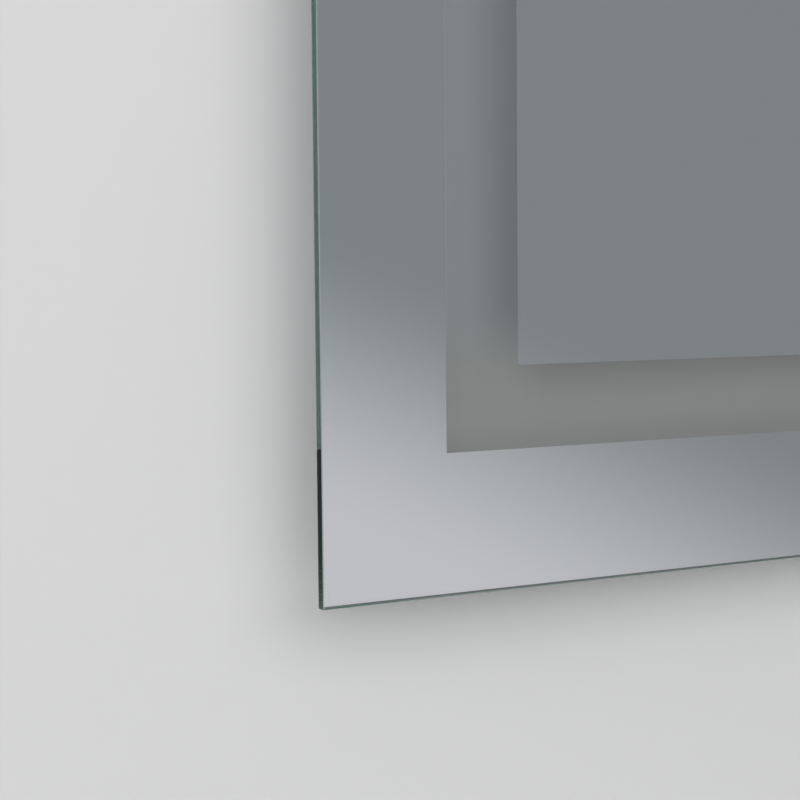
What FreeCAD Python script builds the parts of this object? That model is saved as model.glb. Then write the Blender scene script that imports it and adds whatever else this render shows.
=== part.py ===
import FreeCAD, Part
import math
import operator
import os

import Sketcher

# A frameless lighted bathroom mirror with a sandblasted band, hung on a wall rail.
# Frame: X to the right as seen from the front, +Y into the wall, +Z up, in millimetres.
# The origin is midway between the two wall screws, on the wall's surface, so that every
# piece lies at Y below 0 and the glass faces -Y.

os.makedirs("parts", exist_ok=True)
doc = FreeCAD.newDocument("LightedMirror")

# Driving dimensions
driving = {
    # glass
    "glass_width": 600,
    "glass_height": 800,
    "glass_thick": 5,
    "glass_arris": 0.4,  # at the front and the corners
    "back_arris": 0.3,
    "frost_margin": 67,  # glass edge to the sandblasted band
    "frost_width": 40,
    "frost_depth": 0.1,
    "silver_thick": 0.15,  # silver and its paint
    "silver_inset": 1.0,  # glass edge to the silver
    "silver_gap": 0.05,
    # light frame behind the glass
    "frame_inset": 46,  # glass edge to the frame's outer face
    "frame_depth": 26,
    "frame_wall": 1.6,
    "flange_width": 15,
    "track_rib": 1.0,
    "track_rise": 1.2,
    "mitre_over": 1,  # how far a mitre cut runs past the rail
    "key_thick": 5,
    "key_width": 11.5,
    "key_arm": 42,
    "key_gap": 0.1,
    "corner_screw_run": 28,  # frame corner to a corner screw
    "tape_thick": 1.0,
    "tape_width": 12,
    # light
    "board_width": 10,
    "board_thick": 1.0,
    "board_gap": 0.2,
    "board_end": 18,  # frame corner to the end of a light board
    "chip_long": 3.5,
    "chip_wide": 2.8,
    "chip_thick": 0.8,
    "chip_pitch": 20,
    # back cover
    "cover_thick": 1.0,
    "cover_inset": 1.0,
    "cover_corner": 6,
    "vent_long": 30,
    "vent_radius": 1.5,
    "vent_pitch": 9,
    "vent_rows": 3,
    "vent_shift": 22,  # driver's middle to a vent's middle
    "earth_run": 14,  # terminal box to the earth screw, across and down
    "earth_drop": 10,
    # wall rail and the hanger that hooks over it
    "rail_thick": 1.5,
    "rail_end": 30,  # hanger's end to the rail's end
    "rail_below": 13,
    "rail_above": 11,
    "wall_slot_end": 30,  # rail's end to a slot's middle
    "wall_slot_long": 12,
    "wall_slot_radius": 2.75,
    "hanger_thick": 1.5,
    "hanger_end": 44,  # frame's outer face to the hanger's end
    "hanger_flange": 22,
    "hook_depth": 10,  # how far the hanger's lip reaches behind the rail's lip
    "hook_floor_gap": 2.5,
    "hook_wall_gap": 1.4,
    "hook_clearance": 0.15,
    "bend_radius": 1.0,
    "frame_above_hanger": 2.5,
    "hanger_screw_inner": 90,
    "hanger_screw_end": 20,  # hanger's end to its outer screw
    # rubber bumpers at the lower corners
    "bumper_radius": 8,
    "bumper_edge": 1.5,
    "bumper_inset": 62,  # frame's outer face to the bumper's centre
    # pan head screws
    "screw_radius": 1.6,
    "screw_length": 7,
    "screw_head_radius": 3.1,
    "screw_head_thick": 1.2,
    "screw_clearance": 0.1,
    "screw_head_flat": 2.2,
    "screw_head_rim": 0.5,
    "screw_tip": 1,
    "screw_tip_radius": 0.8,
    "screw_stick_out": 1.6,  # what stands out of the last sheet that it holds
    "recess_width": 0.7,
    "recess_depth": 0.7,
    # demister pad
    "pad_width": 300,
    "pad_height": 400,
    "pad_thick": 0.6,
    "pad_tab_width": 24,
    "pad_tab_height": 14,
    "pad_tab_thick": 3,
    "pad_tab_drop": 48,  # terminal box to the tab
    # light driver
    "driver_x": -70,
    "driver_z": -84,
    "driver_length": 150,
    "driver_width": 42,
    "driver_depth": 17,
    "driver_wall": 1.6,
    "driver_ear": 12,
    "driver_board_lift": 2.5,
    "driver_board_thick": 1.6,
    "transformer_length": 26,
    "transformer_width": 24,
    "choke_length": 14,
    "choke_width": 16,
    "choke_run": 45,  # driver's middle to the choke
    "capacitor_radius": 4.5,
    "standoff_radius": 2,
    "standoff_inset": 8,
    "standoff_aside": 12,
    # terminal box over the cable inlet
    "box_x": 112,
    "box_z": -84,
    "box_length": 72,
    "box_width": 46,
    "box_depth": 18,
    "box_wall": 2,
    "box_lid_thick": 1.6,
    "lid_rim": 3,
    "fit_gap": 0.15,
    "box_screw_gap": 5,  # inside of the box's walls to its screws
    "inlet_shift": 18,  # box centre to the cable inlet
    "cable_radius": 4.2,
    "grommet_wall": 3.4,
    "grommet_flange": 2.4,
    "grommet_lip": 2,
    "grommet_edge": 0.8,
    "clamp_gap": 1.5,  # grommet to the cord clamp
    "clamp_width": 7,
    "clamp_thick": 2.5,
    "clamp_opening": 6.5,
    "clamp_leg": 4.5,
    "clamp_reach": 9.2,  # cable's middle to the outside of a leg
    "block_length": 30,
    "block_width": 17,
    "block_depth": 11,
    "block_poles": 3,
    "block_way_radius": 1.8,
    "block_way_lift": 4.4,
    "block_screw_radius": 2,
    "block_screw_run": 4.2,
    "block_wall_gap": 1.5,
    # switch under the frame
    "switch_inset": 104,  # frame's outer face to the switch's middle
    "housing_length": 30,
    "housing_depth": 29,
    "housing_wall": 2,
    "housing_ear": 9,
    "housing_ear_thick": 2.5,
    "bezel_length": 22,
    "bezel_width": 15.5,
    "bezel_thick": 1.5,
    "switch_length": 19.4,
    "switch_width": 12.8,
    "switch_depth": 11,
    "well_length": 17.4,
    "well_width": 10.5,
    "rocker_length": 15.2,
    "rocker_gap": 0.25,
    "rocker_rise": 1.6,  # how far the rocker's ends stand out of the bezel at mid throw
    "rocker_dish": 0.7,
    "rocker_hub": 2.6,
    "rocker_top": 2.3,
    "rocker_shoulder": 0.4,
    "rocker_round": 0.5,
    "pivot_inside": 2.5,  # bezel's face to the pivot
    "pivot_radius": 1.0,
    "pivot_clearance": 0.05,
    "pivot_stub": 0.9,
    "rocker_throw": 20,  # degrees from off to on
    "blade_wide": 4.8,
    "blade_thick": 0.8,
    "blade_long": 5,
    "blade_shift": 3.5,  # from the switch's middle towards the wall
    # leads
    "lead_radius": 1.25,
    "jumper_radius": 1.0,
    "lead_clip_wall": 1.6,
    "lead_clip_long": 9,
    "lead_clip_foot": 2,
    "lead_clip_count": 4,
    "lead_clip_start": 150,  # terminal box to the first clip
    "lead_hole_gap": 0.6,
}

sheet = doc.addObject("Spreadsheet::Sheet", "Sheet")
for row, (alias, number) in enumerate(driving.items(), start=1):
    sheet.set(f"A{row}", alias)
    sheet.set(f"B{row}", str(number))
    sheet.setAlias(f"B{row}", alias)
doc.recompute()


class Size:
    """A length known both as a number and as the sheet expression that it follows."""

    def __init__(self, value, text):
        self.value = value
        self.text = text

    def __neg__(self):
        return Size(-self.value, f"(0 - {self.text})")


def asSize(item):
    return item if isinstance(item, Size) else Size(float(item), f"({float(item)})")


def addOperator(name, sign, work):
    def forward(a, b):
        a, b = asSize(a), asSize(b)
        return Size(work(a.value, b.value), f"({a.text} {sign} {b.text})")

    setattr(Size, f"__{name}__", forward)
    setattr(Size, f"__r{name}__", lambda b, a: forward(a, b))


addOperator("add", "+", operator.add)
addOperator("sub", "-", operator.sub)
addOperator("mul", "*", operator.mul)
addOperator("truediv", "/", operator.truediv)


class Sheet:
    """Gives each driving dimension as a Size: at.glass_width."""

    def __getattr__(self, alias):
        return Size(float(driving[alias]), f"Sheet.{alias}")


at = Sheet()

# Places along Y, from the wall
hangerLipBack = -at.hook_wall_gap
hangerLipFront = hangerLipBack - at.hanger_thick
railLipBack = hangerLipFront - at.hook_clearance
railLipFront = railLipBack - at.rail_thick
hangerBack = railLipFront - at.hook_clearance
coverBack = hangerBack - at.hanger_thick
coverFront = coverBack - at.cover_thick
frameBack = coverFront
frameFront = frameBack - at.frame_depth
frameMiddle = frameBack - at.frame_depth / 2
flangeFront = frameBack - at.frame_wall
silverBack = frameFront - at.tape_thick
silverFront = silverBack - at.silver_thick
glassBack = silverFront - at.silver_gap

# Heights, from the wall screws
railWebTop = at.rail_above + at.rail_thick
hangerLipBottom = railWebTop + at.hook_floor_gap
railLipTop = hangerLipBottom + at.hook_depth
hangerWebTop = railLipTop + at.hanger_thick
hangerTop = hangerWebTop + at.hanger_flange
frameTop = hangerTop + at.frame_above_hanger
glassTop = frameTop + at.frame_inset
glassBottom = glassTop - at.glass_height
frameBottom = glassBottom + at.frame_inset
middleHeight = (glassTop + glassBottom) / 2

# Widths, from the centre line
glassHalf = at.glass_width / 2
frameHalf = glassHalf - at.frame_inset
frameWidth = frameHalf * 2
frameHeight = frameTop - frameBottom
flangeMiddle = at.flange_width / 2
hangerHalf = frameHalf - at.hanger_end
railHalf = hangerHalf - at.rail_end
switchX = frameHalf - at.switch_inset

origin = FreeCAD.Vector(0, 0, 0)
subParts = []


# Modelling helpers
def keep(item):
    """Marks an object of the document as a sub-part, which gets its own file."""
    subParts.append(item)
    return item


def newBody(name):
    body = doc.addObject("PartDesign::Body", name)
    body.Label = name
    return body


def bind(item, **places):
    """Ties properties of a document object to the sheet."""
    for name, size in places.items():
        path = name.replace("_", ".")
        item.setExpression(path, asSize(size).text)


def sketchOn(body, plane, offset=None):
    """A sketch on one of the body's own planes. XZ looks from the front and its normal is -Y."""
    sketch = body.newObject("Sketcher::SketchObject", f"{body.Name}_sketch")
    base = next(item for item in body.Origin.OriginFeatures if item.Role == plane)
    sketch.AttachmentSupport = [(base, "")]
    sketch.MapMode = "FlatFace"
    if offset is not None:
        bind(sketch, AttachmentOffset_Base_z=offset)
    return sketch


def pinPoint(sketch, geometry, point, across, up):
    """Holds one point of a sketch at its distances from the sketch's origin."""
    for kind, size in (("DistanceX", asSize(across)), ("DistanceY", asSize(up))):
        number = sketch.addConstraint(Sketcher.Constraint(kind, -1, 1, geometry, point, size.value))
        sketch.setExpression(f"Constraints[{number}]", size.text)


def outline(sketch, corners):
    """A closed outline of straight lines through the corners."""
    corners = [(asSize(across), asSize(up)) for across, up in corners]
    points = [FreeCAD.Vector(across.value, up.value, 0) for across, up in corners]
    first = sketch.GeometryCount
    count = len(corners)
    for here in range(count):
        sketch.addGeometry(Part.LineSegment(points[here], points[(here + 1) % count]))
    for here in range(count):
        after = first + (here + 1) % count
        sketch.addConstraint(Sketcher.Constraint("Coincident", first + here, 2, after, 1))
    for here, (across, up) in enumerate(corners):
        pinPoint(sketch, first + here, 1, across, up)


def rectangle(sketch, left, right, bottom, top):
    outline(sketch, [(left, bottom), (right, bottom), (right, top), (left, top)])


def circle(sketch, across, up, radius):
    across, up, radius = asSize(across), asSize(up), asSize(radius)
    centre = FreeCAD.Vector(across.value, up.value, 0)
    number = sketch.addGeometry(Part.Circle(centre, FreeCAD.Vector(0, 0, 1), radius.value))
    pinPoint(sketch, number, 3, across, up)
    ring = sketch.addConstraint(Sketcher.Constraint("Radius", number, radius.value))
    sketch.setExpression(f"Constraints[{ring}]", radius.text)


def slot(sketch, across, up, length, radius):
    """A level slot with round ends, length from end to end."""
    across, up, radius = asSize(across), asSize(up), asSize(radius)
    reach = asSize(length) / 2 - radius
    left, right = across - reach, across + reach
    normal = FreeCAD.Vector(0, 0, 1)

    def endArc(centre, start):
        ring = Part.Circle(FreeCAD.Vector(centre.value, up.value, 0), normal, radius.value)
        return sketch.addGeometry(Part.ArcOfCircle(ring, start, start + math.pi))

    def side(height):
        ends = [FreeCAD.Vector(place.value, up.value + height, 0) for place in (left, right)]
        return sketch.addGeometry(Part.LineSegment(*ends))

    leftArc, rightArc = endArc(left, math.pi / 2), endArc(right, -math.pi / 2)
    top, bottom = side(radius.value), side(-radius.value)
    for a, aEnd, b, bEnd in (
        (leftArc, 1, top, 1),
        (leftArc, 2, bottom, 1),
        (rightArc, 2, top, 2),
        (rightArc, 1, bottom, 2),
    ):
        sketch.addConstraint(Sketcher.Constraint("Tangent", a, aEnd, b, bEnd))
    sketch.addConstraint(Sketcher.Constraint("Equal", leftArc, rightArc))
    ring = sketch.addConstraint(Sketcher.Constraint("Radius", leftArc, radius.value))
    sketch.setExpression(f"Constraints[{ring}]", radius.text)
    pinPoint(sketch, leftArc, 3, left, up)
    pinPoint(sketch, rightArc, 3, right, up)


def pad(body, sketch, length):
    feature = body.newObject("PartDesign::Pad", f"{body.Name}_pad")
    feature.Profile = sketch
    bind(feature, Length=length)
    body.Tip = feature
    return feature


def pocket(body, sketch, depth=None, forward=True):
    """Cuts along the sketch's normal, or against it, to a depth or right through."""
    doc.recompute()
    before = body.Shape.Volume
    feature = body.newObject("PartDesign::Pocket", f"{body.Name}_pocket")
    feature.Profile = sketch
    feature.Reversed = forward
    if depth is None:
        feature.Type = "ThroughAll"
    else:
        bind(feature, Length=depth)
    body.Tip = feature
    doc.recompute()
    if body.Shape.Volume > before - 1e-3:
        raise RuntimeError(f"a pocket of {body.Label} cuts nothing")
    return feature


def revolve(body, sketch):
    """A full turn about the sketch's upright axis."""
    feature = body.newObject("PartDesign::Revolution", f"{body.Name}_turn")
    feature.Profile = sketch
    feature.ReferenceAxis = (sketch, ["V_Axis"])
    feature.Angle = 360
    body.Tip = feature
    return feature


def edgesWhere(shape, test):
    return [f"Edge{number}" for number, edge in enumerate(shape.Edges, start=1) if test(edge)]


def runsAlong(edge, axis):
    if edge.Curve.TypeId != "Part::GeomLine":
        return False
    return abs(getattr(edge.Curve.Direction, axis)) > 0.999


def nearX(places):
    """Picks the edges along X that pass through the given places in Y and Z."""

    def test(edge):
        if not runsAlong(edge, "x"):
            return False
        middle = edge.CenterOfMass
        return any(
            abs(middle.y - asSize(y).value) + abs(middle.z - asSize(z).value) < 0.01 for y, z in places
        )

    return test


def roundEdges(body, test, radius, kind="PartDesign::Fillet"):
    doc.recompute()
    base = body.Tip
    feature = body.newObject(kind, f"{body.Name}_edge")
    feature.Base = (base, edgesWhere(base.Shape, test))
    bind(feature, **{"Radius" if kind.endswith("Fillet") else "Size": radius})
    body.Tip = feature
    return feature


def box(name, left, right, back, front, bottom, top):
    """A plain block between six places."""
    item = doc.addObject("Part::Box", name)
    item.Label = name
    bind(item, Length=right - left, Width=back - front, Height=top - bottom)
    bind(item, Placement_Base_x=left, Placement_Base_y=front, Placement_Base_z=bottom)
    return item


def cylinderY(name, across, up, back, front, radius):
    """A cylinder along Y."""
    item = doc.addObject("Part::Cylinder", name)
    item.Label = name
    item.Placement = FreeCAD.Placement(origin, FreeCAD.Rotation(FreeCAD.Vector(1, 0, 0), 90))
    bind(item, Radius=radius, Height=back - front)
    bind(item, Placement_Base_x=across, Placement_Base_y=back, Placement_Base_z=up)
    return item


def cutFrom(name, base, *tools):
    for number, tool in enumerate(tools):
        item = doc.addObject("Part::Cut", name if tool is tools[-1] else f"{name}_step{number}")
        item.Base, item.Tool = base, tool
        base = item
    base.Label = name
    return base


def fuse(name, *pieces):
    item = doc.addObject("Part::MultiFuse", name)
    item.Shapes = list(pieces)
    item.Label = name
    return item


def group(name, shapes):
    """Separate solids that share one node."""
    item = doc.addObject("Part::Feature", name)
    item.Shape = Part.makeCompound(shapes)
    item.Label = name
    return item


def place(item, across=0, deep=0, up=0, angle=0):
    """Turns an object about Y by an angle in degrees and moves it."""
    turn = FreeCAD.Rotation(FreeCAD.Vector(0, 1, 0), asSize(angle).value)
    item.Placement = FreeCAD.Placement(origin, turn)
    bind(item, Placement_Base_x=across, Placement_Base_y=deep, Placement_Base_z=up)
    if isinstance(angle, Size):
        item.setExpression("Placement.Rotation.Angle", f"{angle.text} * 1 deg")


def vector(across, deep, up):
    return FreeCAD.Vector(*(asSize(item).value for item in (across, deep, up)))


# Mirror glass
def mirrorGlass():
    body = newBody("mirror_glass")
    pane = sketchOn(body, "XZ_Plane", -glassBack)
    rectangle(pane, -glassHalf, glassHalf, glassBottom, glassTop)
    pad(body, pane, at.glass_thick)
    nearBack = (glassBack - at.back_arris).value
    roundEdges(body, lambda edge: edge.BoundBox.YMin < nearBack, at.glass_arris, "PartDesign::Chamfer")
    roundEdges(body, lambda edge: edge.BoundBox.YMin > nearBack, at.back_arris, "PartDesign::Chamfer")
    band = sketchOn(body, "XZ_Plane", -glassBack)
    for inset in (at.frost_margin, at.frost_margin + at.frost_width):
        side = glassHalf - inset
        rectangle(band, -side, side, glassBottom + inset, glassTop - inset)
    pocket(body, band, at.frost_depth)
    keep(body)


def silverBacking():
    """The silver and paint, left off where the band lets the light through."""

    def sheetOf(name, inset):
        side = glassHalf - inset
        return box(name, -side, side, silverBack, silverFront, glassBottom + inset, glassTop - inset)

    border = cutFrom(
        "silver_border", sheetOf("silver_outer", at.silver_inset), sheetOf("silver_window", at.frost_margin)
    )
    field = sheetOf("silver_field", at.frost_margin + at.frost_width)
    both = doc.addObject("Part::Compound", "silver_backing")
    both.Links = [border, field]
    both.Label = "silver_backing"
    keep(both)


# Light frame
# Each rail is drawn along X with its outer face at height 0, then turned to its side.
class Side:
    def __init__(self, name, length, angle, across, up, screws):
        self.name = name
        self.length = length
        self.angle = angle
        self.across = across
        self.up = up
        self.screws = screws  # places along the rail

    def point(self, along, deep, inward):
        """A point of the rail's own frame, as a place in the whole."""
        turn = math.radians(self.angle)
        cos, sin = round(math.cos(turn)), round(math.sin(turn))
        return (
            self.across + along * cos + inward * sin,
            deep,
            self.up - along * sin + inward * cos,
        )


def railScrews(length, parts):
    """Screw places from one corner screw to the other, in equal steps."""
    reach = length / 2 - at.corner_screw_run
    return [reach * (2 * step / parts - 1) for step in range(parts + 1)]


sides = [
    Side("bottom", frameWidth, 0, asSize(0), frameBottom, railScrews(frameWidth, 2)),
    Side("left", frameHeight, 90, -frameHalf, (frameTop + frameBottom) / 2, railScrews(frameHeight, 3)),
    Side("top", frameWidth, 180, asSize(0), frameTop, railScrews(frameWidth, 1)),
    Side("right", frameHeight, 270, frameHalf, (frameTop + frameBottom) / 2, railScrews(frameHeight, 3)),
]
hangerScrews = [
    sign * run for run in (at.hanger_screw_inner, hangerHalf - at.hanger_screw_end) for sign in (-1, 1)
]
screwHole = at.screw_radius + at.screw_clearance
trackHalf = at.board_width / 2 + at.board_gap
leadHole = at.lead_radius + at.lead_hole_gap
leadLine = flangeFront - at.lead_clip_wall - at.lead_radius  # depth of the leads on the cover
ribTop = at.frame_wall + at.track_rise


def frameRail(side):
    body = newBody(f"frame_rail_{side.name}")
    half = side.length / 2
    profile = sketchOn(body, "YZ_Plane", -half)
    wallFront = frameFront + at.frame_wall
    trackBack, trackFront = frameMiddle + trackHalf, frameMiddle - trackHalf
    outline(profile, [
        (frameBack, 0),
        (frameFront, 0),
        (frameFront, at.flange_width),
        (wallFront, at.flange_width),
        (wallFront, at.frame_wall),
        (trackFront - at.track_rib, at.frame_wall),
        (trackFront - at.track_rib, ribTop),
        (trackFront, ribTop),
        (trackFront, at.frame_wall),
        (trackBack, at.frame_wall),
        (trackBack, ribTop),
        (trackBack + at.track_rib, ribTop),
        (trackBack + at.track_rib, at.frame_wall),
        (flangeFront, at.frame_wall),
        (flangeFront, at.flange_width),
        (frameBack, at.flange_width),
    ])
    pad(body, profile, side.length)
    mitre = sketchOn(body, "XZ_Plane")
    deep = at.flange_width + at.mitre_over
    for sign in (-1, 1):
        outline(mitre, [
            (sign * (half + at.mitre_over), -at.mitre_over),
            (sign * (half + at.mitre_over), deep),
            (sign * (half - deep), deep),
        ])
    pocket(body, mitre)
    holes = sketchOn(body, "XZ_Plane", -frameBack)
    for along in side.screws + (hangerScrews if side.name == "top" else []):
        circle(holes, along, flangeMiddle, screwHole)
    pocket(body, holes, at.frame_wall)
    if side.name == "bottom":
        through = sketchOn(body, "XY_Plane")
        circle(through, switchLeadX, leadLine, leadHole)
        for across, deep in housingScrewPlaces():
            circle(through, across, deep, screwHole)
        pocket(body, through, at.frame_wall)
    place(body, side.across, 0, side.up, side.angle)
    keep(body)


def cornerKey(name, across, up, angle):
    """An L-shaped block that joins two mitred rails from inside."""
    body = newBody(f"corner_key_{name}")
    shape = sketchOn(body, "XZ_Plane", -flangeFront)
    near = at.frame_wall + at.key_gap
    wide = near + at.key_width
    far = near + at.key_arm
    outline(shape, [(near, near), (far, near), (far, wide), (wide, wide), (wide, far), (near, far)])
    pad(body, shape, at.key_thick)
    holes = sketchOn(body, "XZ_Plane")
    circle(holes, at.corner_screw_run, flangeMiddle, screwHole)
    circle(holes, flangeMiddle, at.corner_screw_run, screwHole)
    pocket(body, holes)
    place(body, across, 0, up, angle)
    keep(body)


def foamTape(side):
    half = side.length / 2
    ends = at.flange_width if side.name in ("left", "right") else asSize(0)
    inner = (at.flange_width + at.tape_width) / 2
    outer = (at.flange_width - at.tape_width) / 2
    low = side.point(-half + ends, frameFront, outer)
    high = side.point(half - ends, frameFront, inner)
    left, right = sorted((low[0], high[0]), key=lambda size: size.value)
    bottom, top = sorted((low[2], high[2]), key=lambda size: size.value)
    keep(box(f"foam_tape_{side.name}", left, right, frameFront, silverBack, bottom, top))


# Light boards
def lightBoard(side):
    half = side.length / 2 - at.board_end
    back, front = frameMiddle + at.board_width / 2, frameMiddle - at.board_width / 2
    face = at.frame_wall + at.board_thick
    low = side.point(-half, back, at.frame_wall)
    high = side.point(half, front, face)
    left, right = sorted((low[0], high[0]), key=lambda size: size.value)
    bottom, top = sorted((low[2], high[2]), key=lambda size: size.value)
    keep(box(f"light_board_{side.name}", left, right, back, front, bottom, top))

    lies = side.name in ("top", "bottom")
    long, thick = at.chip_long.value, at.chip_thick.value
    size = FreeCAD.Vector(long if lies else thick, at.chip_wide.value, thick if lies else long)
    pairs = int(half.value / at.chip_pitch.value)
    chips = []
    for step in range(pairs):
        for sign in (-1, 1):
            along = sign * at.chip_pitch * (step + 0.5)
            middle = vector(*side.point(along, frameMiddle, face + at.chip_thick / 2))
            chips.append(Part.makeBox(*size, middle - size * 0.5))
    keep(group(f"light_chips_{side.name}", chips))


# Back cover
inletX, inletZ = at.box_x + at.inlet_shift, at.box_z
grommetNeck = at.cable_radius + at.grommet_wall
bumperX, bumperZ = frameHalf - at.bumper_inset, frameBottom + at.bumper_inset
driverEarX = at.driver_length / 2 + at.driver_ear / 2
boxScrewX = at.box_length / 2 - at.box_wall - at.box_screw_gap
boxScrewZ = at.box_width / 2 - at.box_wall - at.box_screw_gap
earthX = at.box_x - at.box_length / 2 - at.earth_run
earthZ = at.box_z - at.box_width / 2 - at.earth_drop


def coverScrewPlaces():
    places = []
    for side in sides:
        for along in side.screws:
            across, deep, up = side.point(along, coverBack, flangeMiddle)
            places.append((across, up))
    return places


def hangerScrewPlaces():
    return [(across, frameTop - flangeMiddle) for across in hangerScrews]


def driverScrewPlaces():
    return [(at.driver_x + sign * driverEarX, at.driver_z) for sign in (-1, 1)]


def boxScrewPlaces():
    return [(at.box_x - boxScrewX, at.box_z + sign * boxScrewZ) for sign in (-1, 1)]


def backCover():
    body = newBody("back_cover")
    plate = sketchOn(body, "XZ_Plane", -coverBack)
    side, bottom, top = frameHalf - at.cover_inset, frameBottom + at.cover_inset, frameTop - at.cover_inset
    cut = at.cover_corner
    outline(plate, [
        (-side + cut, bottom),
        (side - cut, bottom),
        (side, bottom + cut),
        (side, top - cut),
        (side - cut, top),
        (-side + cut, top),
        (-side, top - cut),
        (-side, bottom + cut),
    ])
    pad(body, plate, at.cover_thick)
    holes = sketchOn(body, "XZ_Plane")
    screws = coverScrewPlaces() + hangerScrewPlaces() + driverScrewPlaces() + boxScrewPlaces()
    for across, up in screws + [(earthX, earthZ)]:
        circle(holes, across, up, screwHole)
    circle(holes, inletX, inletZ, grommetNeck)
    pocket(body, holes)
    vents = sketchOn(body, "XZ_Plane")
    for row in range(int(at.vent_rows.value)):
        up = at.driver_z - at.driver_width / 2 - at.vent_pitch * (row + 1)
        for sign in (-1, 1):
            slot(vents, at.driver_x + sign * at.vent_shift, up, at.vent_long, at.vent_radius)
    pocket(body, vents)
    keep(body)


def wallBumpers():
    """Rubber feet that hold the lower end off the wall."""
    body = newBody("bumper_form")
    half = sketchOn(body, "XY_Plane")
    radius = at.bumper_radius
    outline(half, [
        (0, 0),
        (radius - at.bumper_edge, 0),
        (radius, -at.bumper_edge),
        (radius, coverBack),
        (0, coverBack),
    ])
    revolve(body, half)
    doc.recompute()
    feet = []
    for sign in (-1, 1):
        foot = body.Shape.copy()
        foot.translate(vector(sign * bumperX, 0, bumperZ))
        feet.append(foot)
    keep(group("wall_bumpers", feet))


# Wall rail and hanger
def bentStrip(name, half, corners, bends, thick):
    """A folded steel strip along X. bends are its inner corners and outer corners."""
    body = newBody(name)
    profile = sketchOn(body, "YZ_Plane", -half)
    outline(profile, corners)
    pad(body, profile, half * 2)
    inner, outer = bends
    roundEdges(body, nearX(inner), at.bend_radius)
    roundEdges(body, nearX(outer), at.bend_radius + thick)
    return body


def wallRail():
    wall = asSize(0)
    corners = [
        (wall, -at.rail_below),
        (-at.rail_thick, -at.rail_below),
        (-at.rail_thick, at.rail_above),
        (railLipFront, at.rail_above),
        (railLipFront, railLipTop),
        (railLipBack, railLipTop),
        (railLipBack, railWebTop),
        (wall, railWebTop),
    ]
    bends = [corners[2], corners[6]], [corners[7], corners[3]]
    body = bentStrip("wall_rail", railHalf, corners, bends, at.rail_thick)
    # The lip's top edge is eased, so that it seats inside the hanger's bend.
    roundEdges(body, nearX([corners[5]]), at.bend_radius + at.hook_clearance)
    slots = sketchOn(body, "XZ_Plane")
    for sign in (-1, 1):
        slot(slots, sign * (railHalf - at.wall_slot_end), 0, at.wall_slot_long, at.wall_slot_radius)
    pocket(body, slots)
    keep(body)


def hangerRail():
    corners = [
        (coverBack, hangerTop),
        (hangerBack, hangerTop),
        (hangerBack, hangerWebTop),
        (hangerLipBack, hangerWebTop),
        (hangerLipBack, hangerLipBottom),
        (hangerLipFront, hangerLipBottom),
        (hangerLipFront, railLipTop),
        (coverBack, railLipTop),
    ]
    bends = [corners[2], corners[6]], [corners[7], corners[3]]
    body = bentStrip("hanger_rail", hangerHalf, corners, bends, at.hanger_thick)
    holes = sketchOn(body, "XZ_Plane")
    for across, up in hangerScrewPlaces():
        circle(holes, across, up, screwHole)
    pocket(body, holes)
    keep(body)


# Demister pad
padTop = middleHeight + at.pad_height / 2
padTabTop = at.box_z - at.box_width / 2 - at.pad_tab_drop


def demisterPad():
    front, back = silverBack, silverBack + at.pad_thick
    film = box("pad_film", at.pad_width / -2, at.pad_width / 2, back, front,
               padTop - at.pad_height, padTop)
    tab = box("pad_tab", at.box_x - at.pad_tab_width / 2, at.box_x + at.pad_tab_width / 2,
              back + at.pad_tab_thick, back, padTabTop - at.pad_tab_height, padTabTop)
    keep(fuse("demister_pad", film, tab))


# Light driver
driverFloor = coverFront - at.driver_wall
driverFront = coverFront - at.driver_depth
driverLeft, driverRight = at.driver_x - at.driver_length / 2, at.driver_x + at.driver_length / 2
driverBottom, driverTop = at.driver_z - at.driver_width / 2, at.driver_z + at.driver_width / 2
capacitorPlaces = ((-48, 8), (-48, -8), (-34, 0), (24, 6))  # from the driver's middle


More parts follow.
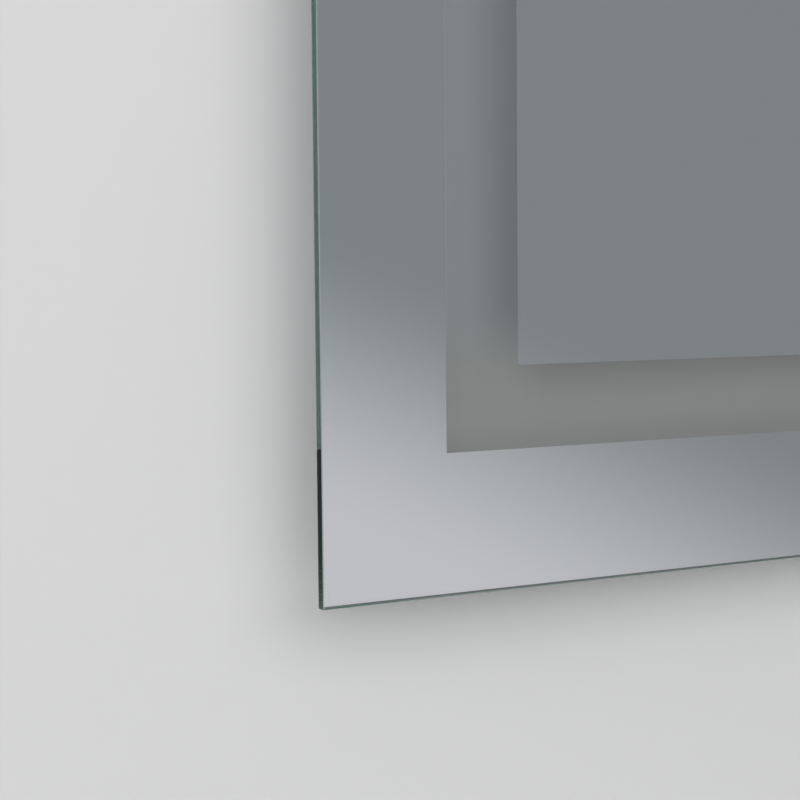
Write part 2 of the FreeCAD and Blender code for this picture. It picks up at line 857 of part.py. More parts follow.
def driver():
    tray = newBody("driver_tray")
    base = sketchOn(tray, "XZ_Plane", -coverFront)
    rectangle(base, driverLeft - at.driver_ear, driverRight + at.driver_ear,
              at.driver_z - at.driver_ear, at.driver_z + at.driver_ear)
    pad(tray, base, at.driver_wall)
    walls = sketchOn(tray, "XZ_Plane", -coverFront)
    rectangle(walls, driverLeft, driverRight, driverBottom, driverTop)
    pad(tray, walls, at.driver_depth)
    hollow = sketchOn(tray, "XZ_Plane", -driverFloor)
    wall = at.driver_wall
    rectangle(hollow, driverLeft + wall, driverRight - wall, driverBottom + wall, driverTop - wall)
    pocket(tray, hollow, at.driver_depth)
    holes = sketchOn(tray, "XZ_Plane")
    for across, up in driverScrewPlaces():
        circle(holes, across, up, screwHole)
    pocket(tray, holes)
    keep(tray)

    lid = newBody("driver_lid")
    plate = sketchOn(lid, "XZ_Plane", -driverFront)
    rectangle(plate, driverLeft, driverRight, driverBottom, driverTop)
    pad(lid, plate, at.driver_wall)
    gap = wall + at.fit_gap
    rim = sketchOn(lid, "XZ_Plane", -driverFront - at.lid_rim)
    for inset in (gap, gap + at.driver_wall):
        rectangle(rim, driverLeft + inset, driverRight - inset, driverBottom + inset, driverTop - inset)
    pad(lid, rim, at.lid_rim + at.driver_wall / 2)
    keep(lid)

    boardBack = driverFloor - at.driver_board_lift
    boardFront = boardBack - at.driver_board_thick
    inset = gap + at.fit_gap
    board = box("driver_pcb", driverLeft + inset, driverRight - inset, boardBack, boardFront,
                driverBottom + inset, driverTop - inset)
    room = driverFront + at.lid_rim + at.fit_gap  # the parts stay behind the lid's rim
    parts = [board]
    for name, middle, length, width in (
        ("transformer", at.driver_x, at.transformer_length / 2, at.transformer_width / 2),
        ("choke", at.driver_x + at.choke_run, at.choke_length / 2, at.choke_width / 2),
    ):
        parts.append(box(name, middle - length, middle + length, boardFront, room,
                         at.driver_z - width, at.driver_z + width))
    for number, (run, rise) in enumerate(capacitorPlaces):
        across, up = at.driver_x + run, at.driver_z + rise
        name = f"capacitor_{number}"
        parts.append(cylinderY(name, across, up, boardFront, room, at.capacitor_radius))
    standoffX = at.driver_length / 2 - at.standoff_inset
    for number, (sign, way) in enumerate(((-1, -1), (-1, 1), (1, -1), (1, 1))):
        across, up = at.driver_x + sign * standoffX, at.driver_z + way * at.standoff_aside
        name = f"standoff_{number}"
        parts.append(cylinderY(name, across, up, driverFloor, boardBack, at.standoff_radius))
    keep(fuse("driver_board", *parts))


# Terminal box and cable inlet
boxLeft, boxRight = at.box_x - at.box_length / 2, at.box_x + at.box_length / 2
boxBottom, boxTop = at.box_z - at.box_width / 2, at.box_z + at.box_width / 2
boxFloor = coverFront - at.box_wall
boxFront = coverFront - at.box_depth
blockX = boxLeft + at.box_wall + at.block_wall_gap + at.block_length / 2
blockFront = boxFloor - at.block_depth
clampX = inletX - grommetNeck - at.grommet_lip - at.clamp_gap - at.clamp_width / 2


def terminalBox():
    body = newBody("terminal_box")
    base = sketchOn(body, "XZ_Plane", -coverFront)
    rectangle(base, boxLeft, boxRight, boxBottom, boxTop)
    pad(body, base, at.box_depth)
    hollow = sketchOn(body, "XZ_Plane", -boxFloor)
    wall = at.box_wall
    rectangle(hollow, boxLeft + wall, boxRight - wall, boxBottom + wall, boxTop - wall)
    pocket(body, hollow, at.box_depth)
    holes = sketchOn(body, "XZ_Plane")
    circle(holes, inletX, inletZ, grommetNeck)
    for across, up in boxScrewPlaces():
        circle(holes, across, up, screwHole)
    pocket(body, holes)
    keep(body)

    lid = newBody("terminal_box_lid")
    plate = sketchOn(lid, "XZ_Plane", -boxFront)
    rectangle(plate, boxLeft, boxRight, boxBottom, boxTop)
    pad(lid, plate, at.box_lid_thick)
    rim = sketchOn(lid, "XZ_Plane", -boxFront - at.lid_rim)
    gap = wall + at.fit_gap
    for inset in (gap, gap + at.box_lid_thick):
        rectangle(rim, boxLeft + inset, boxRight - inset, boxBottom + inset, boxTop - inset)
    pad(lid, rim, at.lid_rim + at.box_lid_thick / 2)
    keep(lid)


def terminalBlock():
    """Three poles side by side, each with a wire hole along X and a screw from the front."""
    body = newBody("terminal_block")
    base = sketchOn(body, "XZ_Plane", -boxFloor)
    half, side = at.block_width / 2, at.block_length / 2
    rectangle(base, blockX - side, blockX + side, at.box_z - half, at.box_z + half)
    pad(body, base, at.block_depth)
    pitch = at.block_length / at.block_poles
    ways = sketchOn(body, "XY_Plane", at.box_z - half)
    heads = sketchOn(body, "XZ_Plane", -blockFront - at.block_depth / 2)
    for pole in range(int(at.block_poles.value)):
        across = blockX + pitch * (pole - (at.block_poles - 1) / 2)
        circle(ways, across, boxFloor - at.block_way_lift, at.block_way_radius)
        for sign in (-1, 1):
            circle(heads, across, at.box_z + sign * at.block_screw_run, at.block_screw_radius)
    pocket(body, ways)
    pocket(body, heads, at.block_depth / 2)
    keep(body)


def cableGrommet():
    """A rubber ring that grips the cover and the box's floor, with the cable's bore through it."""
    body = newBody("cable_grommet")
    half = sketchOn(body, "XY_Plane")
    bore, neck = at.cable_radius, grommetNeck - at.fit_gap
    lip, edge = neck + at.grommet_lip, at.grommet_edge
    back, front = coverBack + at.grommet_flange, boxFloor - at.grommet_flange
    outline(half, [
        (bore, back),
        (lip - edge, back),
        (lip, back - edge),
        (lip, coverBack),
        (neck, coverBack),
        (neck, boxFloor),
        (lip, boxFloor),
        (lip, front + edge),
        (lip - edge, front),
        (bore, front),
    ])
    revolve(body, half)
    place(body, inletX, 0, inletZ)
    keep(body)


def cordClamp():
    """A saddle over the cable beside the inlet, on two pillars of the box's floor."""
    left, right = clampX - at.clamp_width / 2, clampX + at.clamp_width / 2
    under = boxFloor - at.clamp_opening
    low, high = at.box_z - at.clamp_reach, at.box_z + at.clamp_reach
    keep(fuse(
        "cord_clamp",
        box("clamp_bar", left, right, under, under - at.clamp_thick, low, high),
        box("clamp_leg_low", left, right, boxFloor, under, low, low + at.clamp_leg),
        box("clamp_leg_high", left, right, boxFloor, under, high - at.clamp_leg, high),
    ))


# Switch
housingHalf = at.frame_depth / 2
housingScrew = at.housing_length / 2 + at.housing_ear / 2
housingBottom = frameBottom - at.housing_depth
bezelFace = housingBottom - at.bezel_thick
pivotZ = bezelFace + at.pivot_inside
wellTop = pivotZ + at.rocker_hub + at.rocker_gap
switchTop = housingBottom + at.switch_depth
bladeMiddle = frameMiddle + at.blade_shift
switchLeadX = switchX - at.switch_length / 4


def housingScrewPlaces():
    """Four screws, clear of the light board's track inside the rail."""
    aside = (at.frame_depth / 2 - at.frame_wall + trackHalf + at.track_rib) / 2
    return [
        (switchX + sign * housingScrew, frameMiddle + way * aside) for sign in (-1, 1) for way in (-1, 1)
    ]


def switchHousing():
    body = newBody("switch_housing")
    side, half = at.housing_length / 2, housingHalf
    lower = sketchOn(body, "XY_Plane", housingBottom)
    rectangle(lower, switchX - side, switchX + side, frameMiddle - half, frameMiddle + half)
    pad(body, lower, at.housing_depth)
    ears = sketchOn(body, "XY_Plane", frameBottom - at.housing_ear_thick)
    reach = side + at.housing_ear
    rectangle(ears, switchX - reach, switchX + reach, frameMiddle - half, frameMiddle + half)
    pad(body, ears, at.housing_ear_thick)
    roundEdges(body, lambda edge: runsAlong(edge, "z"), at.housing_ear_thick)
    hollow = sketchOn(body, "XY_Plane", housingBottom + at.housing_wall)
    wall = at.housing_wall
    rectangle(hollow, switchX - side + wall, switchX + side - wall,
              frameMiddle - half + wall, frameMiddle + half - wall)
    pocket(body, hollow, at.housing_depth)
    opening = sketchOn(body, "XY_Plane", housingBottom)
    long, wide = at.switch_length / 2 + at.fit_gap, at.switch_width / 2 + at.fit_gap
    rectangle(opening, switchX - long, switchX + long, frameMiddle - wide, frameMiddle + wide)
    for across, deep in housingScrewPlaces():
        circle(opening, across, deep, screwHole)
    pocket(body, opening)
    keep(body)


def switchBody():
    """Bezel and body in one, with a well for the rocker and a hole each side for its stubs."""
    body = newBody("switch_body")
    bezel = sketchOn(body, "XY_Plane", bezelFace)
    side, half = at.bezel_length / 2, at.bezel_width / 2
    rectangle(bezel, switchX - side, switchX + side, frameMiddle - half, frameMiddle + half)
    pad(body, bezel, at.bezel_thick)
    roundEdges(body, lambda edge: runsAlong(edge, "z"), at.bezel_thick)
    block = sketchOn(body, "XY_Plane", housingBottom)
    side, half = at.switch_length / 2, at.switch_width / 2
    rectangle(block, switchX - side, switchX + side, frameMiddle - half, frameMiddle + half)
    pad(body, block, at.switch_depth)
    well = sketchOn(body, "XY_Plane", bezelFace)
    side, half = at.well_length / 2, at.well_width / 2
    rectangle(well, switchX - side, switchX + side, frameMiddle - half, frameMiddle + half)
    pocket(body, well, wellTop - bezelFace)
    pivots = sketchOn(body, "XZ_Plane", -frameMiddle - half - at.pivot_stub - at.rocker_gap)
    circle(pivots, switchX, pivotZ, at.pivot_radius + at.pivot_clearance)
    pocket(body, pivots, (half + at.pivot_stub + at.rocker_gap) * 2)
    keep(body)


def switchRocker():
    """Drawn at mid throw about its pivot, then turned by half the throw to its off position."""
    body = newBody("switch_rocker")
    half = at.well_width / 2 - at.rocker_gap
    end = at.rocker_length / 2
    face = at.pivot_inside + at.rocker_rise
    profile = sketchOn(body, "XZ_Plane", -half)
    outline(profile, [
        (-end, -face),
        (0, -face + at.rocker_dish),
        (end, -face),
        (end, -at.rocker_shoulder),
        (at.rocker_hub, at.rocker_top),
        (-at.rocker_hub, at.rocker_top),
        (-end, -at.rocker_shoulder),
    ])
    pad(body, profile, half * 2)

    def touched(edge):
        """The edges round the two faces that a finger presses, but not the crease between them."""
        crease = runsAlong(edge, "y") and abs(edge.CenterOfMass.x) < end.value / 2
        return edge.CenterOfMass.z < -at.pivot_inside.value and not crease

    roundEdges(body, touched, at.rocker_round)
    reach = half + at.pivot_stub
    stubs = sketchOn(body, "XZ_Plane", -reach)
    circle(stubs, 0, 0, at.pivot_radius)
    pad(body, stubs, reach * 2)
    place(body, switchX, frameMiddle, pivotZ, at.rocker_throw / -2)
    keep(body)


def switchBlades():
    """Two brass tabs on top of the switch, inside the housing."""
    blades = []
    for name, sign in (("left", -1), ("right", 1)):
        across = switchX + sign * at.switch_length / 4
        thick, wide = at.blade_thick / 2, at.blade_wide / 2
        blades.append(box(f"blade_{name}", across - thick, across + thick, bladeMiddle + wide,
                          bladeMiddle - wide, switchTop, switchTop + at.blade_long))
    both = doc.addObject("Part::Compound", "switch_blades")
    both.Links = blades
    both.Label = "switch_blades"
    keep(both)


# Screws
def screwForm(name, shank):
    """A pan head screw pointing along +Z from its head's seat at height 0."""
    body = newBody(name)
    half = sketchOn(body, "XZ_Plane")
    head, thick = at.screw_head_radius, at.screw_head_thick
    outline(half, [
        (0, -thick),
        (at.screw_head_flat, -thick),
        (head, -at.screw_head_rim),
        (head, 0),
        (at.screw_radius, 0),
        (at.screw_radius, shank - at.screw_tip),
        (at.screw_tip_radius, shank),
        (0, shank),
    ])
    revolve(body, half)
    cross = sketchOn(body, "XY_Plane", -thick)
    wide, long = at.recess_width / 2, at.screw_radius
    outline(cross, [
        (long, -wide), (long, wide), (wide, wide), (wide, long), (-wide, long), (-wide, wide),
        (-long, wide), (-long, -wide), (-wide, -wide), (-wide, -long), (wide, -long), (wide, -wide),
    ])
    pocket(body, cross, at.recess_depth)
    return body.Shape


def screws():
    short = screwForm("screw_form", at.screw_length)
    fromWall = FreeCAD.Rotation(FreeCAD.Vector(0, 0, 1), FreeCAD.Vector(0, -1, 0))
    fromFront = FreeCAD.Rotation(FreeCAD.Vector(0, 0, 1), FreeCAD.Vector(0, 1, 0))
    upward = FreeCAD.Rotation()

    def seated(spot, turn, shape):
        copy = shape.copy()
        copy.Placement = FreeCAD.Placement(vector(*spot), turn)
        return copy

    def row(name, places, deep, turn, shape):
        keep(group(name, [seated((across, deep, up), turn, shape) for across, up in places]))

    row("cover_screws", coverScrewPlaces(), coverBack, fromWall, short)
    row("hanger_screws", hangerScrewPlaces(), hangerBack, fromWall, short)
    bit = screwForm("short_screw_form", at.cover_thick + at.box_wall + at.screw_stick_out)
    row("driver_screws", driverScrewPlaces(), driverFloor, fromFront, bit)
    row("terminal_box_screws", boxScrewPlaces(), boxFloor, fromFront, bit)
    seat = frameBottom - at.housing_ear_thick
    stub = screwForm("housing_screw_form", at.housing_ear_thick + at.frame_wall + at.screw_stick_out)
    keep(group("housing_screws", [
        seated((across, deep, seat), upward, stub) for across, deep in housingScrewPlaces()
    ]))
    earth = screwForm("earth_screw_form", at.cover_thick + at.screw_stick_out)
    keep(group("earth_screw", [seated((earthX, coverFront, earthZ), fromFront, earth)]))


# Leads
def leadAlong(name, points, radius):
    """A round lead: straight runs joined by tangent arcs, each as large as its runs allow."""
    points = [vector(*point) for point in points]
    edges, start, length = [], points[0], 0
    for before, corner, after in zip(points, points[1:], points[2:]):
        back, ahead = before - corner, after - corner
        half = (math.pi - back.getAngle(ahead)) / 2
        bend = 0.45 * min(back.Length, ahead.Length) / math.tan(half)
        tangent = bend * math.tan(half)
        toBack, toAhead = FreeCAD.Vector(back).normalize(), FreeCAD.Vector(ahead).normalize()
        first, last = corner + toBack * tangent, corner + toAhead * tangent
        bisector = (toBack + toAhead).normalize()
        centre = corner + bisector * (bend / math.cos(half))
        edges.append(Part.LineSegment(start, first).toShape())
        edges.append(Part.Arc(first, centre - bisector * bend, last).toShape())
        start = last
        print(f"{name}: bend radius {bend:.1f} mm")
    edges.append(Part.LineSegment(start, points[-1]).toShape())
    path = Part.Wire(edges)
    ring = Part.Circle(points[0], points[1] - points[0], radius.value)
    tube = path.makePipeShell([Part.Wire(ring.toShape())], True, False)
    exact = path.Length * math.pi * radius.value**2
    print(f"{name}: {path.Length:.0f} mm long, volume {tube.Volume / exact:.4f} of section times length")
    item = doc.addObject("Part::Feature", name)
    item.Shape = tube
    item.Label = name
    return item


def leads():
    """Each route's points are chosen by hand; its two ends stay on what it joins."""
    radius = at.lead_radius
    # light driver to the left light board, between two chips
    lineY = driverFront + at.driver_depth / 2
    boardFace = -frameHalf + at.frame_wall + at.board_thick
    boardZ = middleHeight + at.chip_pitch * 10
    keep(leadAlong("lead_to_lights", [
        (driverLeft, lineY, at.driver_z),
        (driverLeft - 34, lineY, at.driver_z),
        (boardFace + 34, frameMiddle, boardZ),
        (boardFace, frameMiddle, boardZ),
    ], radius))
    # terminal box to light driver
    keep(leadAlong("lead_to_driver", [
        (boxLeft, lineY, at.box_z),
        (boxLeft - 20, lineY, at.box_z),
        (driverRight + 22, lineY, at.driver_z + 12),
        (driverRight, lineY, at.driver_z + 12),
    ], radius))
    # terminal box to the demister pad's tab
    boxY = boxFloor - at.lead_radius * 3
    tabY = silverBack + at.pad_thick + at.pad_tab_thick / 2
    keep(leadAlong("lead_to_demister", [
        (at.box_x, boxY, boxBottom),
        (at.box_x, boxY, boxBottom - 14),
        (at.box_x, tabY, padTabTop + 14),
        (at.box_x, tabY, padTabTop),
    ], radius))
    # terminal box down to the switch, clipped to the cover, through the bottom rail
    lineX = boxRight - 8
    bladeTop = switchTop + at.blade_long
    keep(leadAlong("lead_to_switch", [
        (lineX, leadLine, boxBottom),
        (lineX, leadLine, boxBottom - 60),
        (switchLeadX, leadLine, boxBottom - 120),
        (switchLeadX, leadLine, bladeTop + 11),
        (switchLeadX, bladeMiddle, bladeTop + 4),
        (switchLeadX, bladeMiddle, bladeTop),
    ], radius))


def lightJumpers():
    """Short leads round three corners, from the end of one light board to the next."""
    inward = at.frame_wall + at.jumper_radius + at.fit_gap
    for name, across, up in (("bottom_left", -1, -1), ("top_left", -1, 1), ("top_right", 1, 1)):
        def spot(run, rise):
            middle = (frameTop + frameBottom) / 2
            return (across * (frameHalf - run), frameMiddle, middle + up * (frameHeight / 2 - rise))

        keep(leadAlong(f"light_jumper_{name}", [
            spot(inward, at.board_end), spot(inward, inward), spot(at.board_end, inward)
        ], at.jumper_radius))


def leadClips():
    """Moulded saddles on the cover that hold the switch lead."""
    clips = []
    highest = boxBottom - at.lead_clip_start
    lowest = frameBottom + at.key_arm
    wide = (at.lead_radius + at.lead_clip_wall + at.lead_clip_foot).value
    long = at.lead_clip_long.value
    front = (leadLine - at.lead_radius - at.lead_clip_wall).value
    count = int(at.lead_clip_count.value)
    for number in range(count):
        up = highest + (lowest - highest) * number / (count - 1)
        corner = FreeCAD.Vector(switchLeadX.value - wide, front, up.value)
        block = Part.makeBox(2 * wide, coverFront.value - front, long, corner)
        bore = Part.makeCylinder((at.lead_radius + at.fit_gap).value, long,
                                 vector(switchLeadX, leadLine, up))
        clips.append(block.cut(bore))
    keep(group("lead_clips", clips))


# Build
mirrorGlass()
silverBacking()
for side in sides:
    frameRail(side)
    foamTape(side)
    lightBoard(side)
cornerKey("bottom_left", -frameHalf, frameBottom, 0)
cornerKey("top_left", -frameHalf, frameTop, 90)
cornerKey("top_right", frameHalf, frameTop, 180)
cornerKey("bottom_right", frameHalf, frameBottom, 270)
backCover()
wallBumpers()
wallRail()
hangerRail()
demisterPad()
driver()
terminalBox()
terminalBlock()
cableGrommet()
cordClamp()
switchHousing()
switchBody()
switchRocker()
switchBlades()
screws()
leads()
lightJumpers()
leadClips()
doc.recompute()

for item in doc.Objects:
    if "Invalid" in item.State or "Error" in item.State:
        raise RuntimeError(f"{item.Label} failed: {item.State}")
for item in subParts:
    if item.Shape.isNull() or not item.Shape.isValid():
        raise RuntimeError(f"{item.Label} has no valid shape")
for item in subParts:
    item.Shape.exportStep(f"parts/{item.Label}.step")
    print(f"{item.Label}: {len(item.Shape.Solids)} solid(s), {item.Shape.Volume / 1000:.2f} cm3")
print(f"{len(subParts)} sub-parts")
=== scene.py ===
import math

import bmesh
import bpy
from mathutils import Matrix, Vector


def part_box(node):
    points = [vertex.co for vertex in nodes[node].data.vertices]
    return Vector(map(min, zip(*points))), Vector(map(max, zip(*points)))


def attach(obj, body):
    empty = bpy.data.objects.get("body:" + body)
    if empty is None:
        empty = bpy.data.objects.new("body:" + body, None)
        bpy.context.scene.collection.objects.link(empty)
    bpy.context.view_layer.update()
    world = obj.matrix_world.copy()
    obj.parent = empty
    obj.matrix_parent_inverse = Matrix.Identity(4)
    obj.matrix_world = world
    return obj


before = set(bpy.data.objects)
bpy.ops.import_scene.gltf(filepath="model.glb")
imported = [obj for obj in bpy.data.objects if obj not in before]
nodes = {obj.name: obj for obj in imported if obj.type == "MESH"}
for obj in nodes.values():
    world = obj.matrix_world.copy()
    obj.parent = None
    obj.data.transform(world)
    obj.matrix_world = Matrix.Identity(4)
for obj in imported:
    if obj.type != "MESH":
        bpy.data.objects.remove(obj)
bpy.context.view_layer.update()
print("stage: the packed mirror is loaded")


class Value:  # one output socket; maths on it adds Math nodes
    def __init__(self, finish, socket):
        self.finish = finish
        self.socket = socket

    def sibling(self, output):
        return Value(self.finish, self.socket.node.outputs[output])

    def maths(self, operation, *inputs):
        return self.finish.node("ShaderNodeMath", {"operation": operation}, dict(enumerate(inputs)))

    def size(self):
        return self.maths("ABSOLUTE", self)

    def fraction(self):
        return self.maths("FRACT", self)

    def zigzag(self, top):
        return self.maths("PINGPONG", self, top)

    def least(self, other):
        return self.maths("MINIMUM", self, other)

    def most(self, other):
        return self.maths("MAXIMUM", self, other)

    def above(self, limit):
        return self.maths("GREATER_THAN", self, limit)

    def below(self, limit):
        return self.maths("LESS_THAN", self, limit)

    def rise(self, start, end, low=0.0, high=1.0):
        return self.finish.node(
            "ShaderNodeMapRange",
            {"interpolation_type": "SMOOTHSTEP"},
            {"Value": self, "From Min": start, "From Max": end, "To Min": low, "To Max": high},
        )


def overload(name, operation):
    setattr(Value, f"__{name}__", lambda a, b: a.maths(operation, a, b))
    setattr(Value, f"__r{name}__", lambda a, b: a.maths(operation, b, a))


for name, operation in (("add", "ADD"), ("sub", "SUBTRACT"), ("mul", "MULTIPLY"), ("truediv", "DIVIDE")):
    overload(name, operation)


class Finish:  # the node tree of one material, or of the world
    def __init__(self, name, shelf="materials", output="ShaderNodeOutputMaterial"):
        self.owner = getattr(bpy.data, shelf).new(name)
        self.owner.use_nodes = True
        self.tree = self.owner.node_tree
        self.tree.nodes.clear()
        self.output = self.tree.nodes.new(output)
        self.object = None

    def node(self, kind, settings=None, inputs=None, output=0):
        made = self.tree.nodes.new(kind)
        for name, setting in (settings or {}).items():
            setattr(made, name, setting)
        for name, given in (inputs or {}).items():
            socket = made.inputs[name]
            if isinstance(given, Value):
                self.tree.links.new(given.socket, socket)
            elif isinstance(given, tuple) and socket.type == "RGBA":
                socket.default_value = (*given, 1)
            else:
                socket.default_value = given
        return Value(self, made.outputs[output])

    def place(self):
        if self.object is None:
            self.object = self.node("ShaderNodeTexCoord", output="Object")
        return self.object

    def axes(self):
        across = self.node("ShaderNodeSeparateXYZ", None, {"Vector": self.place()})
        return across, across.sibling("Y"), across.sibling("Z")

    def stretched(self, scale, turn=(0, 0, 0)):
        return self.node(
            "ShaderNodeMapping", None, {"Vector": self.place(), "Scale": scale, "Rotation": turn}
        )

    def scaled(self, vector, amount):
        return self.node("ShaderNodeVectorMath", {"operation": "SCALE"}, {0: vector, "Scale": amount})

    def shifted(self, amount, reach):
        push = self.scaled(amount, reach)
        return self.node("ShaderNodeVectorMath", {"operation": "ADD"}, {0: self.place(), 1: push})

    def noise(self, scale, detail=2.0, roughness=0.5, stretch=(1, 1, 1)):
        return self.node(
            "ShaderNodeTexNoise",
            None,
            {"Vector": self.stretched(stretch), "Scale": scale, "Detail": detail, "Roughness": roughness},
        )

    def blend(self, share, first, second):
        return self.node(
            "ShaderNodeMix", {"data_type": "RGBA"}, {0: share, 6: first, 7: second}, output=2
        )

    def bump(self, height, distance, strength=1.0):
        return self.node(
            "ShaderNodeBump", None, {"Height": height, "Distance": distance, "Strength": strength}
        )

    def surface(self, **sockets):
        inputs = {name.replace("_", " "): given for name, given in sockets.items()}
        return self.node("ShaderNodeBsdfPrincipled", None, inputs)

    def mixed(self, share, first, second):
        return self.node("ShaderNodeMixShader", None, {0: share, 1: first, 2: second})

    def close(self, shader, volume=None):
        self.tree.links.new(shader.socket, self.output.inputs["Surface"])
        if volume is not None:
            self.tree.links.new(volume.socket, self.output.inputs["Volume"])
        return self.owner


def shaded(colour, share):
    return tuple(share * part for part in colour)


def dress(material, *names):
    for name in names:
        slots = nodes[name].data.materials
        slots.clear()
        slots.append(material)


# A pattern in these dictionaries is a noise's scale, detail and roughness.
# A span is where a soft step starts and ends.

glassLow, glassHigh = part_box("mirror_glass")
glassCentre = (glassLow + glassHigh) / 2
glassHalf = (glassHigh - glassLow) / 2

glassPane = {
    "tint": (0.985, 0.99, 0.99),
    "bend": 1.52,
    "absorbColour": (0.38, 0.78, 0.64),
    "absorbDensity": 10.0,
    "bandMargin": 0.067,
    "bandWidth": 0.040,
    "bandDepth": 0.0001,
    "arris": 0.0004,
    "offSide": 2e-6,  # keeps the arris off the flat side faces
    "ground": (0.31, 0.345, 0.335),  # the arris is ground, not polished
    "groundDark": 0.85,
    "groundRoughness": 0.5,
    "groundShare": 0.7,
    "scratchPattern": (4000, 3, 0.6),
    "scratchDepth": 0.00003,
    "smear": 0.004,  # how much the polish varies
    "smearPattern": (14, 3),
    "smearSpan": (0.45, 0.75),
}


def edgeDistances(finish):  # from the glass's upright and level edges, and the depth
    across, deep, up = finish.axes()
    sideways = glassHalf.x - (across - glassCentre.x).size()
    upward = glassHalf.z - (up - glassCentre.z).size()
    return sideways, upward, deep


def glassFinish():
    finish = Finish("green float glass")
    sideways, upward, deep = edgeDistances(finish)
    inset = sideways.least(upward)
    nearEdge = inset.below(glassPane["arris"]) * inset.above(glassPane["offSide"])
    arris = nearEdge * deep.below(glassLow.y + glassPane["arris"])
    smear = finish.noise(*glassPane["smearPattern"])
    pane = finish.surface(
        Base_Color=glassPane["tint"],
        Roughness=smear.rise(*glassPane["smearSpan"], 0, glassPane["smear"]),
        IOR=glassPane["bend"],
        Transmission_Weight=1.0,
    )
    scratches = finish.noise(*glassPane["scratchPattern"])
    darker = shaded(glassPane["ground"], glassPane["groundDark"])
    ground = finish.surface(
        Base_Color=finish.blend(scratches, darker, glassPane["ground"]),
        Roughness=glassPane["groundRoughness"],
        Normal=finish.bump(scratches, glassPane["scratchDepth"]),
    )
    edged = finish.mixed(arris * glassPane["groundShare"], pane, ground)
    shadow = finish.node("ShaderNodeLightPath", output="Is Shadow Ray")
    lit = shadow.most(shadow.sibling("Is Diffuse Ray"))  # light passes straight through
    clear = finish.node("ShaderNodeBsdfTransparent", None, {"Color": glassPane["tint"]})
    body = finish.node(
        "ShaderNodeVolumeAbsorption",
        None,
        {"Color": glassPane["absorbColour"], "Density": glassPane["absorbDensity"]},
    )
    return finish.close(finish.mixed(lit, edged, clear), body)


def layerMesh(name, shapes, front, back):  # shapes are half sizes: outer, and inner or None
    mesh = bmesh.new()
    for halfOuter, halfInner in shapes:
        before = set(mesh.faces)
        corners = bmesh.ops.create_grid(mesh, x_segments=1, y_segments=1, size=1)["verts"]
        bmesh.ops.transform(mesh, matrix=Matrix.Diagonal((*halfOuter, 1, 1)), verts=corners)
        if halfInner is None:
            continue
        sheet = [face for face in mesh.faces if face not in before]
        wide = halfOuter[0] - halfInner[0]
        bmesh.ops.inset_region(
            mesh, faces=sheet, thickness=wide, use_boundary=True, use_even_offset=True
        )
        bmesh.ops.delete(mesh, geom=sheet, context="FACES_ONLY")
    raised = bmesh.ops.extrude_face_region(mesh, geom=mesh.faces[:])["geom"]
    raised = [item for item in raised if isinstance(item, bmesh.types.BMVert)]
    bmesh.ops.translate(mesh, vec=(0, 0, back - front), verts=raised)
    upright = Matrix.Rotation(math.pi / -2, 4, "X")
    stand = Matrix.Translation((glassCentre.x, front, glassCentre.z)) @ upright
    bmesh.ops.transform(mesh, matrix=stand, verts=mesh.verts[:])
    bmesh.ops.recalc_face_normals(mesh, faces=mesh.faces[:])
    ranked = sorted(mesh.faces, key=facePlace)
    mesh.faces.sort(key=ranked.index)
    return placed(name, mesh)


def facePlace(face):  # extruding gives the faces in another order each run
    return tuple(round(part, 6) for part in face.calc_center_median())


def placed(name, mesh):
    data = bpy.data.meshes.new(name)
    mesh.to_mesh(data)
    mesh.free()
    piece = bpy.data.objects.new(name, data)
    bpy.context.scene.collection.objects.link(piece)
    return piece


def inside(margin):
    return glassHalf.x - margin, glassHalf.z - margin


silverFilm = {
    "silver": (0.92, 0.92, 0.92),
    "cloudPattern": (6, 2),
    "cloudDark": 0.994,
    "inset": 0.001,  # from the glass's edge
    "sunk": 0.00002,  # into the glass, so that the two touch
    "thick": 0.000045,
}


def silverFinish():
    finish = Finish("silver")
    cloud = finish.noise(*silverFilm["cloudPattern"])
    darker = shaded(silverFilm["silver"], silverFilm["cloudDark"])
    return finish.close(finish.surface(
        Base_Color=finish.blend(cloud, darker, silverFilm["silver"]),
        Metallic=1.0,
        Roughness=0.0,
    ))


backingPaint = {
    "colour": (0.20, 0.215, 0.22),
    "cloudPattern": (35, 3),
    "cloudPale": 1.15,
    "roughness": 0.55,
    "cloudRoughness": 0.08,
    "grainPattern": (900, 2),
    "grainDepth": 0.00005,
}


def paintFinish():
    finish = Finish("backing paint")
    cloud = finish.noise(*backingPaint["cloudPattern"])
    grain = finish.noise(*backingPaint["grainPattern"])
    paler = shaded(backingPaint["colour"], backingPaint["cloudPale"])
    return finish.close(finish.surface(
        Base_Color=finish.blend(cloud, backingPaint["colour"], paler),
        Roughness=backingPaint["roughness"] + cloud * backingPaint["cloudRoughness"],
        Normal=finish.bump(grain, backingPaint["grainDepth"]),
    ))


dress(glassFinish(), "mirror_glass")
dress(paintFinish(), "silver_backing")
bandInner = glassPane["bandMargin"] + glassPane["bandWidth"]
filmFront = glassHigh.y - silverFilm["sunk"]
film = layerMesh(
    "silver_film",
    [(inside(silverFilm["inset"]), inside(glassPane["bandMargin"])), (inside(bandInner), None)],
    filmFront, filmFront + silverFilm["thick"],
)
film.data.materials.append(silverFinish())
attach(film, "mirror_unit")
print("stage: glass and silver are dressed")


